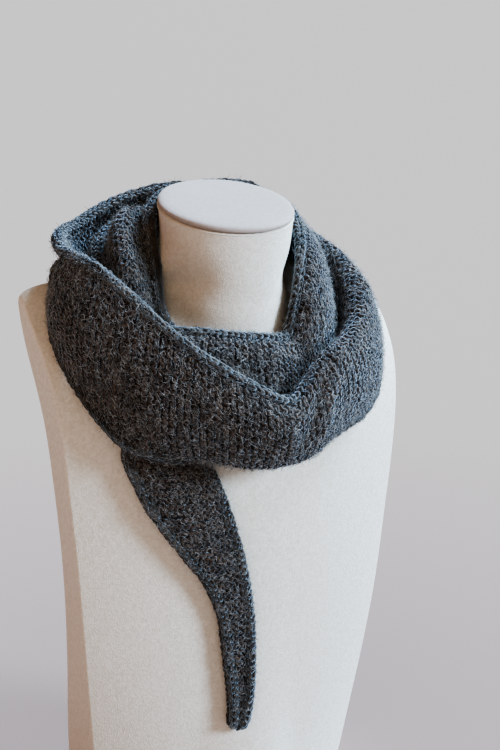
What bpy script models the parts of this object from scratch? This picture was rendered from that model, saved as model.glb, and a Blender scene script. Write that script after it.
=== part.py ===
"""Hand-knitted alpaca scarf wound on a velvet covered neck display bust.

The scarf is one long narrow band with a cord edge along both sides. It is
wound twice and a half round the neck. Each stretch of it that shows is one
closed solid. The bust is built whole and stands on its own flat base.
"""
import math

import bpy
from mathutils import Vector

# Units: tables are in millimetres and degrees, the model is in metres
MM = 0.001

# Cloth
HALF_WALL = 2.0
CORD_RADIUS = 4.0
CORD_JOIN_ANGLE = 30.0
BODY_STATIONS = 7
ROW_SPACING = 8.6
SEAM_GAP = 0.3

# Top cap of the neck
NECK_AXIS_HEIGHT = 497.0
NECK_TOP_RADIUS = 52.5
NECK_TILT = 12.0

# Bust sections from the base up. Columns: height, half width, depth of the
# front edge, of the rear edge, of the front centre and of the back centre.
BUST_SECTIONS = (
    (0.0, 112.0, -4.0, 64.0, -43.0, 66.0),
    (60.0, 120.0, -11.0, 49.0, -50.0, 52.0),
    (120.0, 127.0, -19.0, 29.0, -58.0, 33.0),
    (180.0, 133.0, -25.0, 14.0, -64.0, 18.0),
    (240.0, 138.0, -27.0, 8.0, -68.0, 12.0),
    (300.0, 144.0, -27.0, 8.0, -68.0, 14.0),
    (340.0, 147.0, -24.0, 14.0, -64.0, 22.0),
    (370.0, 149.0, -15.0, 28.0, -54.0, 36.0),
    (395.0, 150.0, 3.0, 44.0, -38.0, 50.0),
    (415.0, 150.0, 27.0, 54.0, -20.0, 58.0),
    (430.0, 149.0, 48.0, 60.0, 2.0, 62.0),
    (437.0, 147.0, 57.0, 62.0, 14.0, 63.0),
)
BUST_ROW_HEIGHTS = (
    0.0, 2.0, 30.0, 60.0, 90.0, 120.0, 150.0, 180.0, 210.0, 240.0, 270.0,
    300.0, 325.0, 345.0, 360.0, 372.0, 384.0, 395.0, 405.0, 414.0, 422.0,
    429.0, 434.0, 437.0,
)
# Ridge of the shoulders above the last section. Columns: height, half width,
# depth of the front edge and of the rear edge.
SHOULDER_RIDGE = (
    (438.6, 126.0, 57.5, 61.5),
    (441.0, 98.0, 56.0, 60.0),
    (446.0, 72.0, 50.0, 56.0),
    (453.0, 56.0, 34.0, 44.0),
)
# Neck radius by height
NECK_RADII = (
    (380.0, 50.0),
    (400.0, 49.0),
    (430.0, 48.0),
    (460.0, 49.5),
    (500.0, 52.5),
)
NECK_ROW_HEIGHTS = (463.0, 472.0, 482.0, 490.0, 497.0)
NECK_BLEND = 24.0
FRONT_POINTS = 52
SIDE_POINTS = 2
BACK_POINTS = 20

# Cap profile. Columns: radius, height above the neck seam
CAP_PROFILE = (
    (50.6, 0.0),
    (52.2, 0.8),
    (52.7, 2.2),
    (52.2, 3.9),
    (50.6, 5.2),
    (47.5, 5.9),
    (38.0, 6.5),
    (22.0, 6.9),
)
CAP_CENTRE_HEIGHT = 7.1
CAP_POINTS = 56

# Winding of the scarf. Each row is one section at a turn angle, seen in the
# upright plane through the neck axis. Turn 0 is the front and 90 the left.
# Columns: turn angle, then radius and height of eight stations from the
# inner or upper edge of the band to its outer or lower edge.
WINDING = (
    (58, 62, 412, 65, 409, 69, 406, 73, 403, 77, 400, 80, 397, 83, 394, 86, 390),
    (72, 62, 424, 65, 418, 69, 416, 74, 417, 80, 420, 85, 413, 89, 405, 91, 399),
    (82, 59, 437, 62, 431, 67, 428, 74, 434, 83, 443, 88, 436, 91, 426, 92, 416),
    (92, 57, 464, 60, 455, 65, 451, 73, 459, 83, 468, 88, 460, 91, 450, 92, 440),
    (110, 57, 494, 60, 484, 64, 478, 71, 484, 79, 491, 85, 484, 88, 473, 89, 462),
    (130, 57, 499, 59, 491, 62, 486, 67, 489, 72, 493, 77, 487, 79, 477, 80, 466),
    (150, 58, 505, 60, 499, 62, 494, 65, 490, 68, 485, 70, 479, 71, 472, 71, 465),
    (175, 58, 508, 59, 501, 60, 494, 61, 487, 62, 480, 63, 472, 63, 464, 63, 456),
    (200, 59, 510, 60, 502, 61, 495, 62, 487, 62, 479, 63, 471, 63, 463, 63, 455),
    (225, 62, 508, 63, 501, 64, 494, 65, 487, 66, 480, 67, 473, 67, 466, 67, 459),
    (243, 69, 495, 73, 492, 77, 486, 79, 479, 81, 471, 82, 464, 82, 457, 82, 451),
    (257, 64, 486, 70, 485, 77, 479, 82, 469, 84, 460, 85, 451, 85, 444, 84, 438),
    (266, 60, 483, 66, 482, 73, 476, 79, 465, 82, 453, 84, 443, 85, 434, 86, 427),
    (275, 57, 479, 63, 478, 70, 473, 76, 462, 80, 449, 83, 436, 85, 425, 86, 417),
    (285, 56, 472, 62, 472, 69, 467, 75, 457, 79, 443, 82, 429, 84, 416, 86, 407),
    (296, 55, 462, 61, 463, 68, 460, 74, 450, 79, 436, 82, 420, 84, 405, 86, 393),
    (310, 55, 444, 61, 447, 68, 445, 74, 437, 79, 425, 82, 409, 83, 395, 84, 382),
    (322, 56, 425, 62, 428, 69, 425, 74, 416, 78, 403, 80, 388, 82, 377, 83, 367),
    (335, 56, 405, 62, 406, 68, 402, 72, 394, 75, 385, 77, 376, 79, 367, 80, 358),
    (360, 57, 408, 63, 408, 69, 404, 73, 396, 76, 386, 78, 376, 80, 366, 81, 356),
    (385, 60, 411, 66, 412, 72, 408, 77, 399, 80, 388, 83, 378, 86, 368, 88, 358),
    (403, 71, 415, 77, 416, 83, 411, 88, 402, 92, 391, 96, 380, 99, 370, 101, 361),
    (416, 84, 420, 89, 419, 94, 413, 98, 404, 101, 394, 104, 384, 106, 375, 108, 366),
    (430, 94, 427, 98, 426, 101, 421, 104, 413, 107, 405, 109, 398, 110, 391, 111, 384),
    (450, 100, 438, 103, 438, 106, 434, 109, 428, 111, 423, 113, 419, 115, 416, 116, 413),
    (470, 97, 457, 100, 459, 103, 457, 106, 453, 108, 449, 110, 446, 112, 444, 114, 443),
    (490, 93, 474, 96, 474, 98, 470, 100, 465, 101, 460, 101, 455, 101, 451, 101, 447),
    (515, 81, 487, 83, 483, 84, 476, 85, 468, 85, 461, 85, 453, 84, 446, 84, 440),
    (540, 72, 498, 73, 492, 74, 484, 75, 476, 76, 468, 76, 460, 76, 452, 76, 444),
    (565, 73, 493, 75, 487, 77, 479, 79, 471, 81, 463, 82, 456, 83, 449, 83, 442),
    (585, 79, 478, 82, 478, 86, 473, 90, 467, 93, 460, 95, 453, 97, 446, 98, 441),
    (605, 91, 448, 93, 458, 98, 464, 106, 464, 111, 458, 114, 452, 116, 447, 118, 443),
    (620, 95, 434, 96, 444, 101, 454, 107, 457, 112, 450, 116, 441, 119, 433, 121, 426),
    (635, 95, 413, 97, 427, 101, 439, 108, 444, 115, 437, 121, 426, 125, 415, 128, 405),
    (650, 94, 396, 96, 411, 101, 425, 109, 428, 117, 416, 122, 396, 123, 376, 122, 357),
    (665, 93, 388, 94, 401, 99, 411, 107, 413, 115, 400, 119, 378, 116, 356, 108, 338),
    (680, 89, 380, 91, 393, 97, 404, 105, 405, 112, 393, 115, 371, 108, 346, 96, 334),
    (695, 88, 382, 91, 392, 97, 398, 105, 395, 111, 382, 112, 361, 105, 338, 91, 331),
    (708, 95, 374, 99, 381, 104, 382, 110, 373, 114, 359, 113, 343, 105, 328, 89, 327),
    (720, 102, 368, 107, 370, 112, 365, 115, 354, 115, 342, 110, 330, 101, 323, 86, 327),
    (740, 103, 391, 108, 388, 113, 378, 116, 364, 116, 349, 112, 335, 103, 325, 88, 328),
    (755, 104, 409, 110, 403, 115, 390, 118, 374, 118, 358, 114, 342, 105, 331, 92, 331),
    (770, 107, 429, 113, 421, 119, 404, 123, 386, 124, 368, 121, 350, 116, 337, 109, 328),
    (783, 113, 451, 119, 442, 125, 424, 128, 405, 129, 386, 129, 368, 128, 352, 126, 339),
    (797, 120, 469, 127, 461, 134, 447, 139, 429, 140, 411, 139, 395, 138, 382, 136, 374),
    (810, 124, 474, 129, 467, 136, 458, 141, 444, 143, 431, 142, 419, 140, 410, 137, 403),
    (825, 130, 477, 126, 470, 121, 463, 123, 455, 128, 448, 131, 442, 132, 438, 133, 434),
    (836, 129, 480, 125, 474, 121, 467, 121, 461, 123, 457, 126, 453, 129, 450, 130, 448),
    (850, 122, 482, 119, 476, 118, 468, 119, 459, 120, 451, 120, 443, 119, 435, 117, 427),
    (865, 114, 490, 112, 484, 111, 474, 110, 463, 110, 452, 109, 441, 108, 432, 106, 424),
    (880, 102, 499, 100, 493, 99, 484, 98, 473, 98, 462, 97, 451, 96, 442, 94, 434),
    (895, 84, 505, 86, 499, 87, 490, 88, 480, 88, 469, 88, 459, 87, 450, 86, 443),
    (910, 82, 503, 84, 498, 86, 490, 88, 481, 89, 472, 90, 463, 90, 455, 89, 449),
    (925, 84, 498, 87, 494, 90, 487, 92, 480, 93, 472, 94, 465, 94, 459, 93, 454),
    (938, 89, 487, 91, 484, 94, 480, 96, 475, 98, 470, 99, 466, 100, 462, 101, 459),
)

# Hanging end, from under the front drape down to its tip. Columns: across and
# height of the right edge, across and height of the left edge, lift off the
# chest and arch of the middle.
HANGING_END = (
    (-50.0, 389.0, -80.0, 377.0, 8.5, 2.0),
    (-49.0, 368.0, -89.0, 363.0, 7.0, 2.5),
    (-48.0, 345.0, -100.0, 348.0, 6.0, 2.5),
    (-46.5, 321.0, -109.0, 330.0, 6.0, 3.0),
    (-41.6, 308.0, -103.5, 311.0, 6.0, 4.0),
    (-34.0, 288.0, -91.0, 283.0, 6.0, 5.0),
    (-23.0, 254.0, -66.0, 246.0, 5.5, 4.5),
    (-17.0, 230.0, -52.0, 226.0, 5.5, 3.5),
    (-12.0, 205.0, -41.0, 203.0, 5.5, 2.5),
    (-8.5, 182.0, -35.5, 181.0, 5.5, 2.0),
    (-6.2, 155.0, -31.5, 155.0, 5.5, 1.0),
    (-5.5, 130.0, -27.5, 130.0, 5.5, 0.5),
    (-6.5, 108.0, -25.2, 109.0, 5.5, 0.0),
    (-9.0, 94.0, -25.0, 97.0, 5.5, 0.0),
    (-13.0, 87.0, -22.0, 90.0, 5.5, 0.0),
)

# Turn over which the top of the hanging end follows the winding
HANGING_LEAD = 10.0

# Stretches of the winding. Columns: name, first and last turn angle
STRETCHES = (
    ("scarf_left_inner", 58.0, 150.0),
    ("scarf_back_inner", 150.0, 235.0),
    ("scarf_right_collar", 235.0, 300.0),
    ("scarf_front_collar", 300.0, 403.0),
    ("scarf_left_middle", 403.0, 500.0),
    ("scarf_back_middle", 500.0, 590.0),
    ("scarf_right_outer", 590.0, 630.0),
    ("scarf_right_fold", 630.0, 695.0),
    ("scarf_front_pocket", 695.0, 748.0),
    ("scarf_front_drape", 748.0, 790.0),
    ("scarf_left_corner", 790.0, 845.0),
    ("scarf_back_outer", 845.0, 938.0),
)

SCARF_COLOUR = (0.055, 0.062, 0.075, 1.0)
BUST_COLOUR = (0.70, 0.64, 0.55, 1.0)
CAP_COLOUR = (0.74, 0.69, 0.62, 1.0)


def clear_scene():
    """Remove every object of the start scene."""
    for item in list(bpy.data.objects):
        bpy.data.objects.remove(item, do_unlink=True)


def lookup(table, key, column):
    """Read one column of a table at a key between its rows."""
    if key <= table[0][0]:
        return table[0][column]
    for low, high in zip(table, table[1:]):
        if key <= high[0]:
            part = (key - low[0]) / (high[0] - low[0])
            return low[column] + (high[column] - low[column]) * part
    return table[-1][column]


def curve_through(keys, values, key):
    """Smooth curve through values given at rising keys."""
    last = len(keys) - 1
    spot = 0
    while spot < last - 1 and key > keys[spot + 1]:
        spot += 1
    span = keys[spot + 1] - keys[spot]
    part = (key - keys[spot]) / span

    def slope(index):
        """Slope at one key, from its neighbours."""
        before = max(index - 1, 0)
        after = min(index + 1, last)
        return (values[after] - values[before]) / (keys[after] - keys[before])

    square = part * part
    cube = square * part
    return (
        (2 * cube - 3 * square + 1) * values[spot]
        + (cube - 2 * square + part) * span * slope(spot)
        + (3 * square - 2 * cube) * values[spot + 1]
        + (cube - square) * span * slope(spot + 1)
    )


def smooth_least(first, second, blend):
    """Lesser of two depths with a rounded change between them."""
    near = max(blend - abs(first - second), 0.0) / blend
    return min(first, second) - near * near * blend / 4.0


def neck_depth(across, height):
    """Depth of the front of the neck, falling away beside it."""
    radius = lookup(NECK_RADII, height, 1)
    limit = radius * 0.96
    reach = abs(across)
    if reach < limit:
        return -math.sqrt(radius * radius - reach * reach)
    return -math.sqrt(radius * radius - limit * limit) + (reach - limit) * 3.4


def section_value(height, column):
    """One measure of the bust at a height, smooth between its sections."""
    keys = [row[0] for row in BUST_SECTIONS]
    values = [row[column] for row in BUST_SECTIONS]
    return curve_through(keys, values, height)


def bust_front_depth(across, height):
    """Depth of the front of the bust at a place across and a height."""
    half = section_value(height, 1)
    edge = section_value(height, 2)
    centre = section_value(height, 4)
    chest = centre + (edge - centre) * (across / half) ** 2
    return smooth_least(chest, neck_depth(across, height), NECK_BLEND)


def spread(first, last, count):
    """Evenly spaced numbers from first to last, both included."""
    step = (last - first) / (count - 1)
    return [first + step * index for index in range(count)]


def bust_ring(height):
    """Outline of the bust at a height up to the shoulder ridge."""
    half = section_value(height, 1)
    front_edge = section_value(height, 2)
    rear_edge = section_value(height, 3)
    back_centre = section_value(height, 5)
    ring = []
    for angle in spread(-80.0, 80.0, FRONT_POINTS):
        across = half * math.sin(math.radians(angle)) / math.sin(math.radians(80.0))
        ring.append((across, bust_front_depth(across, height), height))
    front_edge = ring[-1][1]
    for part in spread(0.0, 1.0, SIDE_POINTS + 2)[1:-1]:
        ring.append((half, front_edge + (rear_edge - front_edge) * part, height))
    for angle in spread(80.0, -80.0, BACK_POINTS):
        across = half * math.sin(math.radians(angle)) / math.sin(math.radians(80.0))
        depth = rear_edge + (back_centre - rear_edge) * (1.0 - (across / half) ** 2)
        ring.append((across, depth, height))
    for part in spread(1.0, 0.0, SIDE_POINTS + 2)[1:-1]:
        ring.append((-half, front_edge + (rear_edge - front_edge) * part, height))
    return ring


def ridge_ring(height, half, front_edge, rear_edge):
    """Outline of the shoulder ridge and neck above the last section."""
    ring = []
    for angle in spread(-80.0, 80.0, FRONT_POINTS):
        across = half * math.sin(math.radians(angle)) / math.sin(math.radians(80.0))
        depth = smooth_least(front_edge, neck_depth(across, height), NECK_BLEND * 0.6)
        ring.append((across, depth, height))
    edge = min(ring[-1][1], rear_edge - 2.0)
    ring = [(across, min(depth, edge), level) for across, depth, level in ring]
    for part in spread(0.0, 1.0, SIDE_POINTS + 2)[1:-1]:
        ring.append((half, edge + (rear_edge - edge) * part, height))
    for angle in spread(80.0, -80.0, BACK_POINTS):
        across = half * math.sin(math.radians(angle)) / math.sin(math.radians(80.0))
        bulge = max(0.0, 1.0 - (across / half) ** 2)
        ring.append((across, rear_edge + (58.0 - rear_edge) * bulge, height))
    for part in spread(1.0, 0.0, SIDE_POINTS + 2)[1:-1]:
        ring.append((-half, edge + (rear_edge - edge) * part, height))
    return ring


def neck_ring(height):
    """Outline of the neck, leaning over to the slant of its top."""
    radius = lookup(NECK_RADII, height, 1)
    lean = (height - NECK_ROW_HEIGHTS[0]) / (NECK_AXIS_HEIGHT - NECK_ROW_HEIGHTS[0])
    if height >= NECK_AXIS_HEIGHT:
        radius = NECK_TOP_RADIUS
    rise = math.tan(math.radians(NECK_TILT)) * lean
    shorten = 1.0 + (math.cos(math.radians(NECK_TILT)) - 1.0) * lean
    angles = spread(-80.0, 80.0, FRONT_POINTS)
    angles += spread(80.0, 100.0, SIDE_POINTS + 2)[1:-1]
    angles += spread(100.0, 260.0, BACK_POINTS)
    angles += spread(260.0, 280.0, SIDE_POINTS + 2)[1:-1]
    ring = []
    for angle in angles:
        across = radius * math.sin(math.radians(angle))
        depth = -radius * math.cos(math.radians(angle)) * shorten
        ring.append((across, depth, height + depth * rise))
    return ring


def loft_mesh(rings, start_point=None, end_point=None):
    """Close a stack of equal rings into one skin, as points and faces."""
    count = len(rings[0])
    points = [point for ring in rings for point in ring]
    faces = []
    for level in range(len(rings) - 1):
        low = level * count
        high = low + count
        for index in range(count):
            after = (index + 1) % count
            faces.append((low + index, low + after, high + after, high + index))
    if start_point is not None:
        points.append(start_point)
        for index in range(count):
            faces.append((len(points) - 1, (index + 1) % count, index))
    if end_point is not None:
        points.append(end_point)
        top = (len(rings) - 1) * count
        for index in range(count):
            faces.append((len(points) - 1, top + index, top + (index + 1) % count))
    return points, faces


def bust_skin():
    """Points and faces of the bust body with its neck."""
    rings = [bust_ring(height) for height in BUST_ROW_HEIGHTS]
    first = [(x * 0.99, y * 0.99, 0.0) for x, y, z in rings[0]]
    rings[0] = first
    rings += [ridge_ring(*row) for row in SHOULDER_RIDGE]
    rings += [neck_ring(height) for height in NECK_ROW_HEIGHTS]
    base_centre = (0.0, 8.0, 0.0)
    top_centre = (0.0, 0.0, NECK_AXIS_HEIGHT)
    return loft_mesh(rings, base_centre, top_centre)


def cap_skin():
    """Points and faces of the padded round cap of the neck."""
    tilt = math.radians(NECK_TILT)

    def place(across, depth, height):
        """Put a point of the level cap on the slanted neck top."""
        level = height + SEAM_GAP
        return (
            across,
            depth * math.cos(tilt) - level * math.sin(tilt),
            NECK_AXIS_HEIGHT + depth * math.sin(tilt) + level * math.cos(tilt),
        )

    rings = []
    for radius, height in CAP_PROFILE:
        ring = []
        for index in range(CAP_POINTS):
            angle = math.tau * index / CAP_POINTS
            ring.append(place(radius * math.cos(angle), radius * math.sin(angle), height))
        rings.append(ring)
    bottom = place(0.0, 0.0, 0.0)
    top = place(0.0, 0.0, CAP_CENTRE_HEIGHT)
    return loft_mesh(rings, bottom, top)


def material_for(name, colour, roughness):
    """A plain material of one colour."""
    material = bpy.data.materials.new(name)
    material.use_nodes = True
    shader = material.node_tree.nodes["Principled BSDF"]
    shader.inputs["Base Color"].default_value = colour
    shader.inputs["Roughness"].default_value = roughness
    return material


def add_solid(name, points, faces, colour, roughness):
    """Add one closed solid, given in millimetres, to the scene."""
    mesh = bpy.data.meshes.new(name)
    mesh.from_pydata([tuple(v * MM for v in point) for point in points], [], faces)
    mesh.validate()
    for face in mesh.polygons:
        face.use_smooth = True
    solid = bpy.data.objects.new(name, mesh)
    bpy.context.collection.objects.link(solid)
    mesh.materials.append(material_for(name + "_colour", colour, roughness))
    return solid


def winding_stations(turn):
    """Eight points across the band at a turn angle."""
    keys = [row[0] for row in WINDING]
    angle = -math.radians(turn)
    stations = []
    for index in range(8):
        radius = curve_through(keys, [row[1 + 2 * index] for row in WINDING], turn)
        height = curve_through(keys, [row[2 + 2 * index] for row in WINDING], turn)
        across = radius * math.sin(angle)
        depth = -radius * math.cos(angle)
        stations.append(Vector((across, depth, height)))
    return stations


def hanging_rows():
    """Eight points across the hanging end for each row of its table."""
    top = STRETCHES[0][1]
    rows = [winding_stations(top + HANGING_LEAD), winding_stations(top)]
    for right, right_height, left, left_height, lift, arch in HANGING_END:
        stations = []
        for index in range(8):
            part = index / 7.0
            across = right + (left - right) * part
            height = right_height + (left_height - right_height) * part
            depth = bust_front_depth(across, height) - lift
            depth -= arch * 4.0 * part * (1.0 - part)
            stations.append(Vector((across, depth, height)))
        rows.append(stations)
    return rows


def hanging_stations(place, rows):
    """Eight points across the hanging end at a place down its rows."""
    keys = [-0.6] + [float(index) for index in range(len(rows) - 1)]
    return [
        Vector(
            curve_through(keys, [row[index][axis] for row in rows], place)
            for axis in range(3)
        )
        for index in range(8)
    ]


def chain_lengths(points):
    """Running length along a chain of points."""
    lengths = [0.0]
    for low, high in zip(points, points[1:]):
        lengths.append(lengths[-1] + (high - low).length)
    return lengths


def chain_point(points, lengths, distance):
    """Point of the smooth chain at a distance along it."""
    return Vector(
        curve_through(lengths, [point[axis] for point in points], distance)
        for axis in range(3)
    )


def body_distances(width, cord):
    """Distances across the band of the wall points between the two cords."""
    inset = cord * (1.0 + math.cos(math.radians(CORD_JOIN_ANGLE)))
    first = inset + min(3.0, (width - 2 * inset) * 0.08)
    return spread(first, width - first, BODY_STATIONS)


def band_ring(stations, ahead, behind):
    """Closed outline of the band's wall at one section."""
    lengths = chain_lengths(stations)
    width = lengths[-1]
    cord = min(CORD_RADIUS, width / 4.2)
    wall = min(HALF_WALL, cord * 0.5)

    def frame(distance):
        """Point, direction across and outward direction at a distance."""
        part = distance / width
        point = chain_point(stations, lengths, distance)
        step = max(width * 0.01, 0.3)
        before = chain_point(stations, lengths, max(distance - step, 0.0))
        after = chain_point(stations, lengths, min(distance + step, width))
        across = (after - before).normalized()
        ahead_lengths = chain_lengths(ahead)
        behind_lengths = chain_lengths(behind)
        onward = (
            chain_point(ahead, ahead_lengths, part * ahead_lengths[-1])
            - chain_point(behind, behind_lengths, part * behind_lengths[-1])
        ).normalized()
        outward = onward.cross(across).normalized()
        return point, across, outward

    ring = []
    join = CORD_JOIN_ANGLE
    angles = spread(join, 360.0 - join, 7)
    point, across, outward = frame(cord)
    for angle in angles:
        turn = math.radians(angle)
        ring.append(point + (across * math.cos(turn) + outward * math.sin(turn)) * cord)
    middle = [frame(d) for d in body_distances(width, cord)]
    ring += [point - outward * wall for point, across, outward in middle]
    point, across, outward = frame(width - cord)
    for angle in reversed(angles):
        turn = math.radians(angle)
        ring.append(point + (outward * math.sin(turn) - across * math.cos(turn)) * cord)
    ring += [point + outward * wall for point, across, outward in reversed(middle)]
    return ring


def end_faces(offset, flip):
    """Faces that close one end of a band, in strips across its wall."""
    count = BODY_STATIONS
    lower = 7 + count
    front = [lower + 7 + count - 1 - index for index in range(count)]
    back = [7 + index for index in range(count)]
    faces = [(0, 1, 5, 6), (1, 2, 4, 5), (2, 3, 4)]
    faces.append((front[0], 0, 6, back[0]))
    for index in range(count - 1):
        faces.append((front[index + 1], front[index], back[index], back[index + 1]))
    low = [lower + index for index in range(7)]
    faces.append((low[6], front[-1], back[-1], low[0]))
    faces += [
        (low[5], low[6], low[0], low[1]),
        (low[4], low[5], low[1], low[2]),
        (low[3], low[4], low[2]),
    ]
    shifted = [tuple(offset + index for index in face) for face in faces]
    if flip:
        return [tuple(reversed(face)) for face in shifted]
    return shifted


def band_skin(places, stations_at, step):
    """Points and faces of one stretch of the band."""
    rings = []
    for place in places:
        ahead = stations_at(place + step)
        behind = stations_at(place - step)
        rings.append(band_ring(stations_at(place), ahead, behind))
    points, faces = loft_mesh(rings)
    faces += end_faces(0, True)
    faces += end_faces((len(rings) - 1) * len(rings[0]), False)
    return points, faces


def even_places(first, last, stations_at, samples):
    """Places along a band that are about one row spacing apart."""
    trial = spread(first, last, samples)
    middles = [stations_at(place) for place in trial]
    run = [0.0]
    for low, high in zip(middles, middles[1:]):
        steps = [(b - a).length for a, b in zip(low, high)]
        run.append(run[-1] + max(steps[1], steps[3], steps[6]))
    count = max(4, int(round(run[-1] / ROW_SPACING)) + 1)
    places = []
    for goal in spread(0.0, run[-1], count):
        spot = 0
        while spot < len(run) - 2 and run[spot + 1] < goal:
            spot += 1
        part = (goal - run[spot]) / (run[spot + 1] - run[spot])
        places.append(trial[spot] + (trial[spot + 1] - trial[spot]) * part)
    return places


def seam_angle(turn):
    """Turn angle that gives half a seam gap at the inner edge."""
    nearest = min(math.hypot(point.x, point.y) for point in winding_stations(turn))
    return math.degrees(SEAM_GAP * 0.6 / (nearest - CORD_RADIUS))


def build_winding():
    """Add each stretch of the scarf that goes round the neck."""
    for name, first, last in STRETCHES:
        start = first + seam_angle(first)
        end = last - seam_angle(last)
        places = even_places(start, end, winding_stations, 60)
        points, faces = band_skin(places, winding_stations, 0.5)
        add_solid(name, points, faces, SCARF_COLOUR, 0.95)


def build_hanging_end():
    """Add the end of the scarf that hangs down the chest."""
    rows = hanging_rows()

    def stations_at(place):
        """Stations of the hanging end at a place."""
        return hanging_stations(place, rows)

    places = even_places(0.04, float(len(HANGING_END)), stations_at, 120)
    points, faces = band_skin(places, stations_at, 0.02)
    add_solid("scarf_hanging_end", points, faces, SCARF_COLOUR, 0.95)


def build_bust():
    """Add the bust and its cap."""
    points, faces = bust_skin()
    add_solid("bust_body", points, faces, BUST_COLOUR, 0.9)
    points, faces = cap_skin()
    add_solid("bust_cap", points, faces, CAP_COLOUR, 0.9)


def main():
    """Build the whole object."""
    clear_scene()
    build_bust()
    build_hanging_end()
    build_winding()


main()
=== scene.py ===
"""Hand-knitted alpaca scarf on a velvet covered neck display bust.

The band of the scarf is worked out once as a smooth surface. The ground of
the knit, its purl ridges, the cord along both edges and the soft halo of
fibres are all built on that surface, so they follow each fold of the cloth.
"""
import logging
import math
from dataclasses import dataclass, field
from enum import Enum

import bpy
import numpy as np
from mathutils import Matrix, Vector
from mathutils.bvhtree import BVHTree


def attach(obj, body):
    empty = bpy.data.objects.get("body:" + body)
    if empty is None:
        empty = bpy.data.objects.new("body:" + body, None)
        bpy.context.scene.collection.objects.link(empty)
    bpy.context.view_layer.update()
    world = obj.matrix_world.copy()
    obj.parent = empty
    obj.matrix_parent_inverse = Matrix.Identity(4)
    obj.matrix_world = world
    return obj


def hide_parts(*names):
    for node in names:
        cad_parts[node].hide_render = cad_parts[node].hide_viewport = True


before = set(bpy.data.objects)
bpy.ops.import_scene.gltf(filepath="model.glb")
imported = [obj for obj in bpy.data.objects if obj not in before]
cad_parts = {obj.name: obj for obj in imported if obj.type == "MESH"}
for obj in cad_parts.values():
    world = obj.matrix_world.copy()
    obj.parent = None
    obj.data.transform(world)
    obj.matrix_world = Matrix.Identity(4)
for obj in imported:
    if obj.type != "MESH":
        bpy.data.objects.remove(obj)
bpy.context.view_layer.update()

LOG = logging.getLogger("alpaca_scarf")

# Units: tables and sizes are in millimetres and degrees, the model in metres
MM = 0.001

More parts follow.
